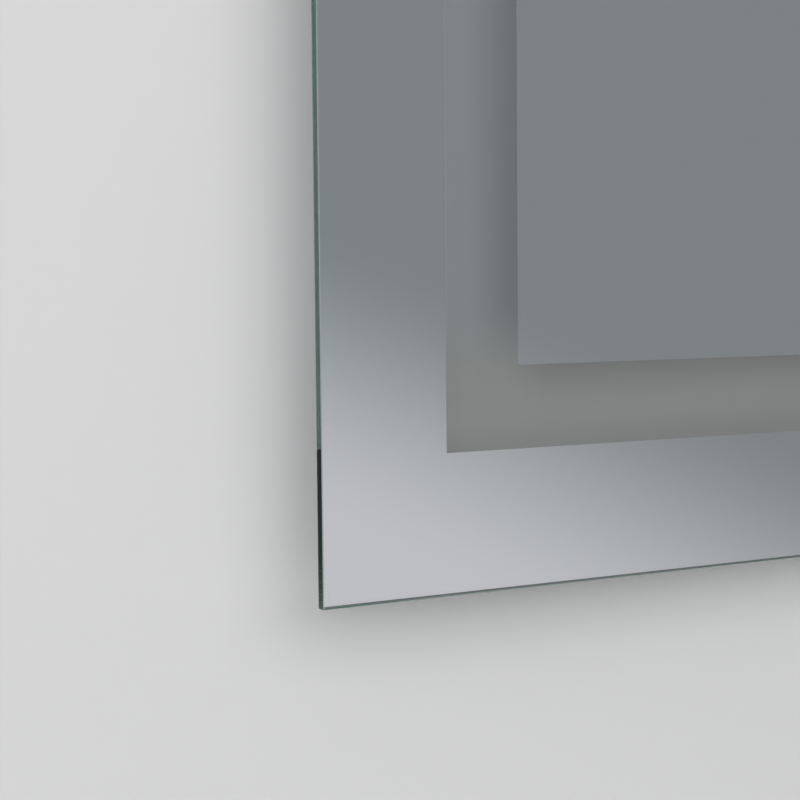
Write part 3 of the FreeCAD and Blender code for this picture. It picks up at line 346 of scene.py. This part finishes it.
frostedBand = {  # a thin layer in the recess of the glass. Its grey is the frost's own colour darkened by painted shade of the dim cavity behind it; the shades below are painted shade, and the rim is a painted highlight
    "sunk": 0.00002,  # into the floor of the recess, so that glass and band touch
    "thick": 0.00008,
    # pale (level bands) and cool (upright bands) are the frost's colour with painted shade of the cavity;
    # cool is a cooler painted shade of the same frost
    "pale": (0.2350, 0.2294, 0.2238),
    "cool": (0.2205, 0.2207, 0.2310),
    # painted shade on the upright bands, darker towards the mirror field
    "sideShade": 0.28,
    "sideReach": (0.002, 0.030),  # from the mirror field's edge outwards
    "sideEnd": (-0.033, 0.0136),  # where the painted shade of the upright bands dies away
    # painted shade on the level bands, darker towards the mirror field
    "endShade": 0.22,
    "endReach": (-0.004, 0.021),
    "endEnd": (-0.022, 0.010),
    # painted shade on the level bands, darker towards their outer edges
    "outerShade": 0.115,
    "outerReach": 0.015,
    "cornerShade": 0.065,  # painted shade beside the upright outer edges, at the corners alone
    "cornerReach": 0.014,
    "rim": 0.08,  # a painted highlight: a hairline of light along the upright outer edges
    "rimWidth": 0.0006,
    "grainPattern": (2600, 3),
    "grainShade": 0.05,
    "grainDepth": 0.00004,
    "roughness": 0.9,
}


def frostFinish():
    finish = Finish("sandblasted glass")
    sideways, upward = edgeDistances(finish)[:2]
    beside = bandInner - sideways  # how far the point lies outside the inner mirror field
    beyond = bandInner - upward
    onSide = beyond.rise(*frostedBand["sideEnd"], 1, 0)  # 1 on the upright bands
    offSide = 1 - onSide
    onEnd = beside.rise(*frostedBand["endEnd"], 1, 0)
    # painted shade on the upright bands, darker towards the mirror field
    sidePaintedShade = beside.rise(*frostedBand["sideReach"], frostedBand["sideShade"], 0) * onSide
    # painted shade on the level bands, darker towards the mirror field
    endPaintedShade = beyond.rise(*frostedBand["endReach"], frostedBand["endShade"], 0) * onEnd
    fromOuter = upward - glassPane["bandMargin"]
    # painted shade along the outer level edges
    outerPaintedShade = fromOuter.rise(0, frostedBand["outerReach"], frostedBand["outerShade"], 0) * offSide
    fromSide = sideways - glassPane["bandMargin"]
    # painted shade beside the upright outer edges, at the corners
    cornerPaintedShade = fromSide.rise(0, frostedBand["cornerReach"], frostedBand["cornerShade"], 0) * offSide
    # painted highlight: a lighter hairline along the upright outer edges
    rim = fromSide.below(frostedBand["rimWidth"]) * onSide * frostedBand["rim"]
    grain = finish.noise(*frostedBand["grainPattern"])
    speckle = (grain - 0.5) * frostedBand["grainShade"]
    # the band's painted light and shade: 1 plus the painted highlight, minus the painted shades, with
    # random speckle
    light = 1 + rim - sidePaintedShade - endPaintedShade - outerPaintedShade - cornerPaintedShade + speckle
    # the frost's grey, with a cooler painted shade on the upright bands than on the level ones
    frostAndPaintedShade = finish.blend(onSide, frostedBand["pale"], frostedBand["cool"])
    return finish.close(finish.surface(
        Base_Color=finish.scaled(frostAndPaintedShade, light),
        Roughness=frostedBand["roughness"],
        Normal=finish.bump(grain, frostedBand["grainDepth"]),
    ))


bandFront = glassHigh.y - glassPane["bandDepth"] - frostedBand["sunk"]
band = layerMesh(
    "frosted_band", [(inside(glassPane["bandMargin"]), inside(bandInner))],
    bandFront, bandFront + frostedBand["thick"],
)
band.data.materials.append(frostFinish())
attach(band, "mirror_unit")
print("stage: the sandblasted band is laid")


zincSheet = {
    "pale": (0.56, 0.575, 0.59),
    "dull": (0.43, 0.445, 0.46),
    "flake": 85,  # flakes of the zinc coat per metre
    "feather": 0.007,
    "wavePattern": (60, 3),
    "fernPattern": (900, 4, 0.65),  # the fine growth inside a flake
    "flakeShare": 0.75,
    "fernShare": 0.35,
    "metallic": 0.92,
    "roughness": 0.34,
    "flakeRoughness": 0.16,
    "fernRoughness": 0.08,
    "seamSpan": (0, 0.06),
    "seamHeight": 0.4,
    "fernHeight": 0.6,
    "depth": 0.00004,
    "relief": 0.6,
}


def zincSheetFinish():
    finish = Finish("galvanised sheet")
    wave = finish.noise(*zincSheet["wavePattern"])
    place = finish.shifted(wave, zincSheet["feather"])
    flakes = {"Vector": place, "Scale": zincSheet["flake"]}
    shade = finish.node("ShaderNodeTexVoronoi", None, flakes, output="Color")
    seam = finish.node("ShaderNodeTexVoronoi", {"feature": "DISTANCE_TO_EDGE"}, flakes)
    lone = finish.node("ShaderNodeSeparateColor", None, {"Color": shade})
    fern = finish.noise(*zincSheet["fernPattern"])
    bright = lone * zincSheet["flakeShare"] + fern * zincSheet["fernShare"]
    worn = zincSheet["roughness"] + lone * zincSheet["flakeRoughness"] + fern * zincSheet["fernRoughness"]
    height = seam.rise(*zincSheet["seamSpan"]) * zincSheet["seamHeight"] + fern * zincSheet["fernHeight"]
    return finish.close(finish.surface(
        Base_Color=finish.blend(bright, zincSheet["dull"], zincSheet["pale"]),
        Metallic=zincSheet["metallic"],
        Roughness=worn,
        Normal=finish.bump(height, zincSheet["depth"], zincSheet["relief"]),
    ))


railMetal = {
    "pale": (0.74, 0.75, 0.755),
    "dull": (0.60, 0.61, 0.62),
    "lines": 2600,
    "broader": 9,  # times, for the broad streaks
    "along": 0.006,  # how slowly the lines change along the rail
    "lineShare": 0.5,
    "roughness": 0.30,
    "streakRoughness": 0.18,
    "depth": 0.00003,
}


def railFinish(name, runsUp):
    finish = Finish(name)
    run = (1, 1, railMetal["along"]) if runsUp else (railMetal["along"], 1, 1)
    drawn = finish.noise(railMetal["lines"], stretch=run)
    wide = finish.noise(railMetal["lines"] / railMetal["broader"], stretch=run)
    bright = drawn * railMetal["lineShare"] + wide * (1 - railMetal["lineShare"])
    return finish.close(finish.surface(
        Base_Color=finish.blend(bright, railMetal["dull"], railMetal["pale"]),
        Metallic=1.0,
        Roughness=railMetal["roughness"] + wide * railMetal["streakRoughness"],
        Normal=finish.bump(drawn, railMetal["depth"]),
    ))


castKeys = {
    "pale": (0.50, 0.505, 0.515),
    "dull": (0.36, 0.365, 0.375),
    "grainPattern": (700, 4, 0.6),
    "cloudPattern": (90, 2),
    "cloudShare": 0.6,
    "grainShare": 0.4,
    "metallic": 0.88,
    "roughness": 0.42,
    "grainRoughness": 0.22,
    "depth": 0.00006,
}


def castFinish():
    finish = Finish("die cast zinc")
    grain = finish.noise(*castKeys["grainPattern"])
    cloud = finish.noise(*castKeys["cloudPattern"])
    bright = cloud * castKeys["cloudShare"] + grain * castKeys["grainShare"]
    return finish.close(finish.surface(
        Base_Color=finish.blend(bright, castKeys["dull"], castKeys["pale"]),
        Metallic=castKeys["metallic"],
        Roughness=castKeys["roughness"] + grain * castKeys["grainRoughness"],
        Normal=finish.bump(grain, castKeys["depth"]),
    ))


screwMetal = {
    "cool": (0.68, 0.71, 0.75),
    "warm": (0.74, 0.70, 0.60),
    "filmPattern": (240, 2),
    "filmSpan": (0.42, 0.68),
    "pitPattern": (2400, 3),
    "roughness": 0.22,
    "pitRoughness": 0.22,
    "depth": 0.00002,
}


def screwFinish():
    finish = Finish("zinc plated steel")
    film = finish.noise(*screwMetal["filmPattern"])
    pits = finish.noise(*screwMetal["pitPattern"])
    tint = film.rise(*screwMetal["filmSpan"])
    return finish.close(finish.surface(
        Base_Color=finish.blend(tint, screwMetal["cool"], screwMetal["warm"]),
        Metallic=1.0,
        Roughness=screwMetal["roughness"] + pits * screwMetal["pitRoughness"],
        Normal=finish.bump(pits, screwMetal["depth"]),
    ))


brassMetal = {
    "clean": (0.80, 0.60, 0.30),
    "dull": (0.52, 0.38, 0.19),
    "tarnishPattern": (420, 4, 0.6),
    "tarnishSpan": (0.4, 0.72),
    "scratchPattern": (3000, 2, 0.5),
    "scratchRun": (1, 1, 0.05),
    "roughness": 0.24,
    "tarnishRoughness": 0.2,
    "scratchRoughness": 0.1,
    "depth": 0.00002,
}


def brassFinish():
    finish = Finish("brass")
    tarnish = finish.noise(*brassMetal["tarnishPattern"]).rise(*brassMetal["tarnishSpan"])
    scratch = finish.noise(*brassMetal["scratchPattern"], brassMetal["scratchRun"])
    worn = tarnish * brassMetal["tarnishRoughness"]
    return finish.close(finish.surface(
        Base_Color=finish.blend(tarnish, brassMetal["clean"], brassMetal["dull"]),
        Metallic=1.0,
        Roughness=brassMetal["roughness"] + worn + scratch * brassMetal["scratchRoughness"],
        Normal=finish.bump(scratch, brassMetal["depth"]),
    ))


dress(zincSheetFinish(), "back_cover", "wall_rail", "hanger_rail")
dress(railFinish("drawn aluminium, level", False), "frame_rail_bottom", "frame_rail_top")
dress(railFinish("drawn aluminium, upright", True), "frame_rail_left", "frame_rail_right")
corners = ("bottom_left", "top_left", "top_right", "bottom_right")
dress(castFinish(), *(f"corner_key_{corner}" for corner in corners))
screws = ("cover_screws", "hanger_screws", "driver_screws", "terminal_box_screws", "housing_screws")
dress(screwFinish(), *screws)
dress(brassFinish(), "switch_blades", "earth_screw")
print("stage: sheet metal, castings and screws are dressed")


mouldings = {
    "white": {"colour": (0.80, 0.80, 0.785), "roughness": 0.38, "spark": 1500, "depth": 0.00005},
    "grey": {"colour": (0.36, 0.37, 0.38), "roughness": 0.42, "spark": 1200, "depth": 0.00006},
    "black": {"colour": (0.022, 0.022, 0.024), "roughness": 0.26, "spark": 2200, "depth": 0.00003},
    "nylon": {"colour": (0.80, 0.82, 0.79), "roughness": 0.34, "spark": 900, "depth": 0.00003},
}

mouldingSkin = {
    "sparkDetail": (3, 0.6),
    "flowPattern": (45, 2),
    "flowDark": 0.88,
    "flowShare": 0.7,
    "sparkShare": 0.3,
    "sparkRoughness": 0.14,
    "flowRoughness": 0.06,
    "nylonClear": 0.25,
}


def mouldedFinish(kind, seeThrough=0.0):
    choice = mouldings[kind]
    finish = Finish(f"moulded plastic, {kind}")
    spark = finish.noise(choice["spark"], *mouldingSkin["sparkDetail"])
    flow = finish.noise(*mouldingSkin["flowPattern"])
    darker = shaded(choice["colour"], mouldingSkin["flowDark"])
    bright = flow * mouldingSkin["flowShare"] + spark * mouldingSkin["sparkShare"]
    worn = choice["roughness"] + spark * mouldingSkin["sparkRoughness"]
    return finish.close(finish.surface(
        Base_Color=finish.blend(bright, darker, choice["colour"]),
        Roughness=worn + flow * mouldingSkin["flowRoughness"],
        Transmission_Weight=seeThrough,
        Normal=finish.bump(spark, choice["depth"]),
    ))


softBlack = {
    "colour": (0.020, 0.020, 0.021),
    "dust": (0.075, 0.073, 0.070),
    "dustPattern": (160, 5, 0.7),
    "dustSpan": (0.5, 0.8),
    "dustMost": 0.7,
    "grainPattern": (1300, 3, 0.6),
    "roughness": 0.62,
    "grainRoughness": 0.2,
    "gloss": 0.35,
    "depth": 0.00008,
}


def rubberFinish():
    finish = Finish("black rubber")
    grain = finish.noise(*softBlack["grainPattern"])
    dust = finish.noise(*softBlack["dustPattern"]).rise(*softBlack["dustSpan"], 0, softBlack["dustMost"])
    return finish.close(finish.surface(
        Base_Color=finish.blend(dust, softBlack["colour"], softBlack["dust"]),
        Roughness=softBlack["roughness"] + grain * softBlack["grainRoughness"],
        Specular_IOR_Level=softBlack["gloss"],
        Normal=finish.bump(grain, softBlack["depth"]),
    ))


tapeFoam = {
    "pale": (0.74, 0.74, 0.73),
    "cell": (0.52, 0.52, 0.51),
    "cells": 2300,
    "mottlePattern": (300, 3),
    "cellShare": 0.8,
    "mottleShare": 0.3,
    "roughness": 0.95,
    "gloss": 0.2,
    "depth": 0.0002,
}


def foamFinish():
    finish = Finish("closed cell foam")
    cell = finish.node(
        "ShaderNodeTexVoronoi", {"feature": "SMOOTH_F1"},
        {"Vector": finish.place(), "Scale": tapeFoam["cells"]},
    )
    mottle = finish.noise(*tapeFoam["mottlePattern"])
    dark = cell * tapeFoam["cellShare"] + mottle * tapeFoam["mottleShare"]
    return finish.close(finish.surface(
        Base_Color=finish.blend(dark, tapeFoam["pale"], tapeFoam["cell"]),
        Roughness=tapeFoam["roughness"],
        Specular_IOR_Level=tapeFoam["gloss"],
        Normal=finish.bump(cell, tapeFoam["depth"]),
    ))


leadJacket = {
    "colour": (0.026, 0.026, 0.028),
    "worn": (0.060, 0.060, 0.062),
    "wearPattern": (90, 3),
    "wearSpan": (0.45, 0.8),
    "pulledPattern": (700, 3, 0.6),
    "roughness": 0.36,
    "pulledRoughness": 0.2,
    "depth": 0.00005,
}


def leadFinish():
    finish = Finish("lead jacket")
    pulled = finish.noise(*leadJacket["pulledPattern"])
    worn = finish.noise(*leadJacket["wearPattern"]).rise(*leadJacket["wearSpan"])
    return finish.close(finish.surface(
        Base_Color=finish.blend(worn, leadJacket["colour"], leadJacket["worn"]),
        Roughness=leadJacket["roughness"] + pulled * leadJacket["pulledRoughness"],
        Normal=finish.bump(pulled, leadJacket["depth"]),
    ))


dress(mouldedFinish("white"), "driver_tray", "driver_lid", "cord_clamp", "lead_clips", "switch_housing")
dress(mouldedFinish("grey"), "terminal_box", "terminal_box_lid")
dress(mouldedFinish("black"), "switch_body", "switch_rocker")
dress(mouldedFinish("nylon", mouldingSkin["nylonClear"]), "terminal_block")
dress(rubberFinish(), "wall_bumpers", "cable_grommet")
sides = ("bottom", "left", "top", "right")
dress(foamFinish(), *(f"foam_tape_{side}" for side in sides))
leads = ("lead_to_lights", "lead_to_driver", "lead_to_demister", "lead_to_switch")
dress(leadFinish(), *leads, *(f"light_jumper_{corner}" for corner in corners[:3]))
print("stage: mouldings, rubber, foam and leads are dressed")


lightBoard = {
    "pitch": 0.020,
    "mask": (0.82, 0.82, 0.80),
    "pour": (0.70, 0.69, 0.65),
    "tin": (0.72, 0.72, 0.71),
    "pourFrom": 0.0018,  # from the board's middle line
    "pourTo": 0.0043,
    "splitHalf": 0.0003,  # between two pours
    "padHalf": 0.0012,
    "padNear": 0.0015,
    "padFar": 0.0026,
    "lacquerPattern": (800, 3),
    "roughness": 0.34,
    "lacquerRoughness": 0.12,
    "pourHeight": 0.6,
    "padHeight": 0.4,
    "lacquerHeight": 0.15,
    "depth": 0.00004,
}

lightChip = {
    "glow": (0.86, 0.60, 0.10),
    "glowDark": 0.8,
    "glowLong": 0.0012,
    "glowWide": 0.0010,
    "case": (0.84, 0.83, 0.79),
    "grainPattern": (5200, 3),
    "roughness": 0.46,
    "glowSmooth": 0.2,
    "grainRoughness": 0.1,
    "depth": 0.00003,
}


def chipPlace(finish, runsUp):  # how far from the nearest chip, and from the board's middle line
    across, deep, up = finish.axes()
    low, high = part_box("light_board_left")
    along = up - (low.z + high.z) / 2 if runsUp else across
    aside = (deep - (low.y + high.y) / 2).size()
    return ((along / lightBoard["pitch"]).fraction() - 0.5).size() * lightBoard["pitch"], aside


def boardFinish(name, runsUp):
    finish = Finish(name)
    fromChip, aside = chipPlace(finish, runsUp)
    split = fromChip.above(lightBoard["pitch"] / 2 - lightBoard["splitHalf"])
    pour = aside.above(lightBoard["pourFrom"]) * aside.below(lightBoard["pourTo"]) * (1 - split)
    nearChip = fromChip.above(lightBoard["padNear"]) * fromChip.below(lightBoard["padFar"])
    pads = nearChip * aside.below(lightBoard["padHalf"])
    lacquer = finish.noise(*lightBoard["lacquerPattern"])
    masked = finish.blend(pour, lightBoard["mask"], lightBoard["pour"])
    raised = pour * lightBoard["pourHeight"] + pads * lightBoard["padHeight"]
    return finish.close(finish.surface(
        Base_Color=finish.blend(pads, masked, lightBoard["tin"]),
        Metallic=pads,
        Roughness=lightBoard["roughness"] + lacquer * lightBoard["lacquerRoughness"],
        Normal=finish.bump(raised + lacquer * lightBoard["lacquerHeight"], lightBoard["depth"]),
    ))


def chipFinish(name, runsUp):
    finish = Finish(name)
    fromChip, aside = chipPlace(finish, runsUp)
    window = fromChip.below(lightChip["glowLong"]) * aside.below(lightChip["glowWide"])
    grains = finish.noise(*lightChip["grainPattern"])
    yellow = finish.blend(grains, lightChip["glow"], shaded(lightChip["glow"], lightChip["glowDark"]))
    smooth = lightChip["roughness"] - window * lightChip["glowSmooth"]
    return finish.close(finish.surface(
        Base_Color=finish.blend(window, lightChip["case"], yellow),
        Roughness=smooth + grains * lightChip["grainRoughness"],
        Normal=finish.bump(grains - window, lightChip["depth"]),
    ))


driverParts = {
    "mask": (0.020, 0.150, 0.060),
    "trace": (0.045, 0.240, 0.095),
    "traceScale": 90,
    "traceWidth": 0.06,
    "traceSoft": 0.1,
    "ferrite": (0.035, 0.035, 0.038),
    "tape": (0.78, 0.58, 0.08),
    "winding": (0.66, 0.28, 0.11),
    # painted shade in the grooves between the winding's turns
    "windingDark": 0.35,
    "turns": 900,
    "sleeve": (0.020, 0.028, 0.055),
    "can": (0.70, 0.71, 0.72),
    "boardTop": -0.0129,  # where the board ends and its components begin
    "offBoard": 1e-5,
    "componentTop": -0.0210,
    "transformerX": -0.070,
    "tapeHalf": 0.0085,
    "transformerHalf": 0.0135,
    "chokeX": -0.025,
    "chokeHalf": 0.0075,
    "wireMetallic": 0.8,
    "canMetallic": 0.9,
    "grainPattern": (1200, 3),
    "roughness": 0.30,
    "grainRoughness": 0.16,
    "partRoughness": 0.08,
    "grainHeight": 0.3,
    "depth": 0.0001,
}


def driverFinish():
    finish = Finish("populated circuit board")
    across, deep, up = finish.axes()
    tracks = finish.node("ShaderNodeTexBrick", {"offset": 0.5}, {
        "Vector": finish.stretched((1, 1, 1), (math.pi / 2, 0, 0)),
        "Color1": driverParts["mask"],
        "Color2": driverParts["mask"],
        "Mortar": driverParts["trace"],
        "Scale": driverParts["traceScale"],
        "Mortar Size": driverParts["traceWidth"],
        "Mortar Smooth": driverParts["traceSoft"],
    })
    parts = deep.below(driverParts["boardTop"] - driverParts["offBoard"])
    fromCore = (across - driverParts["transformerX"]).size()
    core = fromCore.below(driverParts["transformerHalf"])
    tape = fromCore.below(driverParts["tapeHalf"])
    choke = (across - driverParts["chokeX"]).size().below(driverParts["chokeHalf"])
    turns = (up * driverParts["turns"]).zigzag(0.5) * 2
    lid = deep.below(driverParts["componentTop"])
    can = finish.blend(lid, driverParts["sleeve"], driverParts["can"])
    # copper darker towards the gaps between turns: painted shade in the grooves
    turnGrooveShade = shaded(driverParts["winding"], driverParts["windingDark"])
    wound = finish.blend(turns, turnGrooveShade, driverParts["winding"])
    taped = finish.blend(tape, driverParts["ferrite"], driverParts["tape"])
    component = finish.blend(choke, finish.blend(core, can, taped), wound)
    cans = (1 - core) * (1 - choke) * lid
    grain = finish.noise(*driverParts["grainPattern"])
    worn = driverParts["roughness"] + grain * driverParts["grainRoughness"]
    height = grain * driverParts["grainHeight"] + parts * choke * turns
    return finish.close(finish.surface(
        Base_Color=finish.blend(parts, tracks, component),
        Metallic=parts * (choke * driverParts["wireMetallic"] + cans * driverParts["canMetallic"]),
        Roughness=worn + parts * driverParts["partRoughness"],
        Normal=finish.bump(height, driverParts["depth"]),
    ))


demister = {
    "film": (0.80, 0.79, 0.74),
    "foil": (0.56, 0.57, 0.58),
    "cover": (0.84, 0.84, 0.82),
    "pitch": 0.010,
    "halfRun": 0.140,  # middle to the ends of the heating lines
    "joinWide": 0.0045,
    "lineShare": 0.42,
    "tabFrom": 0.0007,  # the cover of the lead's joint begins this far behind the film's face
    "foilMetallic": 0.85,
    "ripplePattern": (220, 3),
    "roughness": 0.26,
    "rippleRoughness": 0.2,
    "tabRoughness": 0.2,
    "foilHeight": 0.5,
    "rippleHeight": 0.5,
    "depth": 0.00008,
}


def padFinish():
    finish = Finish("heating film")
    across, deep, up = finish.axes()
    low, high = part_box("demister_pad")
    rows = (up - low.z) / demister["pitch"]
    inRow = (rows.fraction() - 0.5).size().below(demister["lineShare"] / 2)
    linked = ((rows * 0.5).fraction() - 0.5).size().below(0.25)  # rows join in pairs
    edge = demister["halfRun"] - demister["joinWide"]
    wayRight = across.above(edge) * across.below(demister["halfRun"])
    wayLeft = across.below(-edge) * across.above(-demister["halfRun"])
    within = across.size().below(demister["halfRun"])
    ends = (up - low.z).above(demister["pitch"]) * (high.z - up).above(demister["pitch"])
    lines = (inRow * within).most(wayRight * linked).most(wayLeft * (1 - linked)) * ends
    tab = deep.above(low.y + demister["tabFrom"])
    foil = lines * (1 - tab)
    ripple = finish.noise(*demister["ripplePattern"])
    film = finish.blend(foil, demister["film"], demister["foil"])
    worn = demister["roughness"] + ripple * demister["rippleRoughness"]
    height = foil * demister["foilHeight"] + ripple * demister["rippleHeight"]
    return finish.close(finish.surface(
        Base_Color=finish.blend(tab, film, demister["cover"]),
        Metallic=foil * demister["foilMetallic"],
        Roughness=worn + tab * demister["tabRoughness"],
        Normal=finish.bump(height, demister["depth"]),
    ))


for runsUp, word, chosen in ((False, "level", ("bottom", "top")), (True, "upright", ("left", "right"))):
    dress(boardFinish(f"light board, {word}", runsUp), *(f"light_board_{side}" for side in chosen))
    dress(chipFinish(f"light chips, {word}", runsUp), *(f"light_chips_{side}" for side in chosen))
dress(driverFinish(), "driver_board")
dress(padFinish(), "demister_pad")
print("stage: boards, chips and demister pad are dressed")


photoView = {
    "cornerOffset": (-0.35933, -0.69756, 0.14498),  # from the glass's lower left front corner
    "yaw": 0.52045,
    "pitch": -0.06451,
    "roll": -0.00908,
    "focalPixels": 1767.28,
    "frameWidth": 800,
    "sensor": 36.0,
    "nearest": 0.01,
}


def makeCamera():
    yaw, pitch, roll = photoView["yaw"], photoView["pitch"], photoView["roll"]
    ahead = Vector((math.sin(yaw) * math.cos(pitch), math.cos(yaw) * math.cos(pitch), math.sin(pitch)))
    level = Vector((math.cos(yaw), -math.sin(yaw), 0))
    upright = level.cross(ahead)
    right = level * math.cos(roll) + upright * math.sin(roll)
    above = upright * math.cos(roll) - level * math.sin(roll)
    data = bpy.data.cameras.new("photo camera")
    data.sensor_width = photoView["sensor"]
    data.lens = photoView["focalPixels"] / photoView["frameWidth"] * photoView["sensor"]
    data.clip_start = photoView["nearest"]
    camera = bpy.data.objects.new("photo camera", data)
    turn = Matrix((right, above, -ahead)).transposed().to_4x4()
    camera.matrix_world = Matrix.Translation(glassLow + Vector(photoView["cornerOffset"])) @ turn
    bpy.context.scene.collection.objects.link(camera)
    bpy.context.scene.camera = camera


studio = {
    "backdrop": (0.80, 0.80, 0.79),
    "wallColour": (0.64, 0.64, 0.635),
    "wallInGlass": (0.20, 0.20, 0.20),  # what the glass sees of the wall behind it
    "wallGap": 0.0006,
    "floorColour": (0.74, 0.74, 0.73),
    "floorDrop": 0.20,
    "wallReach": (1.5, 2.1),  # the wall fades out between these distances from its middle
    "floorReach": (0.7, 1.05),
    "spare": 1.2,  # how far wall and floor run on, times their reach
    "roughness": 0.9,
    "gloss": 0.1,
    "dim": (0.2423, 0.2500, 0.2658),  # what the mirror sees above
    "bright": (0.5988, 0.5837, 0.6212),  # and below
    "glowAxis": (-0.380, -0.147, -0.913),
    "glowSpan": (-0.079, 0.085),
    "rearSpan": (-0.05, 0.25),  # from what lies before the mirror to what lies behind it
    "horizon": (0.175, 0.215, 0.207),  # behind the mirror, level with it
    "horizonHeight": -0.03,
    "horizonReach": (0.20, 0.45),
    "bounces": 160,  # light zigzags through the whole width of the glass
    "mirrorBounces": 128,
    "glassBounces": 128,
    "clearBounces": 24,
}


def fadingPlane(name, centre, turn, colour, reach, inGlass=None):
    mesh = bmesh.new()
    bmesh.ops.create_grid(mesh, x_segments=1, y_segments=1, size=reach[1] * studio["spare"])
    bmesh.ops.transform(mesh, matrix=turn, verts=mesh.verts[:])
    bmesh.ops.translate(mesh, vec=centre, verts=mesh.verts[:])
    plane = placed(name, mesh)
    finish = Finish(name)
    away = finish.node(
        "ShaderNodeVectorMath", {"operation": "DISTANCE"},
        {0: finish.place(), 1: centre}, output="Value",
    )
    fade = away.rise(*reach).most(finish.node("ShaderNodeNewGeometry", output="Backfacing"))
    if inGlass is not None:
        seen = finish.node("ShaderNodeLightPath", output="Is Camera Ray")
        colour = finish.blend(seen, inGlass, colour)
    paint = finish.surface(
        Base_Color=colour, Roughness=studio["roughness"], Specular_IOR_Level=studio["gloss"]
    )
    clear = finish.node("ShaderNodeBsdfTransparent")
    plane.data.materials.append(finish.close(finish.mixed(fade, paint, clear)))
    return plane


def makeWorld():
    finish = Finish("studio", "worlds", "ShaderNodeOutputWorld")
    direction = finish.node("ShaderNodeTexCoord", output="Generated")
    glow = finish.node(
        "ShaderNodeVectorMath", {"operation": "DOT_PRODUCT"},
        {0: direction, 1: studio["glowAxis"]}, output="Value",
    )
    away = finish.node("ShaderNodeSeparateXYZ", None, {"Vector": direction}, output="Y")
    front = finish.blend(glow.rise(*studio["glowSpan"]), studio["dim"], studio["bright"])
    fromHorizon = (away.sibling("Z") - studio["horizonHeight"]).size()
    rear = finish.blend(fromHorizon.rise(*studio["horizonReach"]), studio["horizon"], studio["backdrop"])
    around = finish.blend(away.rise(*studio["rearSpan"]), front, rear)
    seen = finish.node("ShaderNodeLightPath", output="Is Camera Ray")
    colour = finish.blend(seen, around, studio["backdrop"])
    background = finish.node("ShaderNodeBackground", None, {"Color": colour, "Strength": 1.0})
    bpy.context.scene.world = finish.close(background)


lamps = {
    "key": {"at": (0.35, -2.40, 0.95), "size": (3.2, 1.9), "watts": 33, "mirrored": False},
    "top": {"at": (-0.7, -1.5, 1.9), "size": (1.6, 1.6), "watts": 12, "mirrored": False},
    "fill": {"at": (-2.0, -1.5, 0.45), "size": (2.2, 2.0), "watts": 28, "mirrored": False},
    "rear": {"at": (-1.3, 2.6, 1.3), "size": (3.0, 3.0), "watts": 50, "mirrored": False},
    "rearLow": {"at": (1.7, 2.2, -0.6), "size": (2.0, 2.0), "watts": 14, "mirrored": True},
}


def makeLamps():
    for name, lamp in lamps.items():
        data = bpy.data.lights.new(name, "AREA")
        data.shape = "RECTANGLE"
        data.size, data.size_y = lamp["size"]
        data.energy = lamp["watts"]
        light = bpy.data.objects.new(name, data)
        light.location = lamp["at"]
        light.rotation_mode = "QUATERNION"
        light.rotation_quaternion = (glassCentre - light.location).to_track_quat("-Z", "Y")
        light.visible_camera = False
        light.visible_glossy = lamp["mirrored"]
        light.visible_transmission = False
        bpy.context.scene.collection.objects.link(light)


makeCamera()
wall = fadingPlane(
    "wall", (0, studio["wallGap"], glassCentre.z), Matrix.Rotation(math.pi / 2, 4, "X"),
    studio["wallColour"], studio["wallReach"], studio["wallInGlass"],
)
wall.visible_diffuse = False
wall.visible_glossy = False
wall.visible_shadow = False
fadingPlane(
    "floor", (0, 0, glassLow.z - studio["floorDrop"]), Matrix.Identity(4),
    studio["floorColour"], studio["floorReach"],
)
makeWorld()
makeLamps()
scene = bpy.context.scene
scene.view_settings.view_transform = "Standard"
scene.cycles.max_bounces = studio["bounces"]
scene.cycles.glossy_bounces = studio["mirrorBounces"]
scene.cycles.transmission_bounces = studio["glassBounces"]
scene.cycles.transparent_max_bounces = studio["clearBounces"]
print("stage: camera, floor, wall and lamps are set")
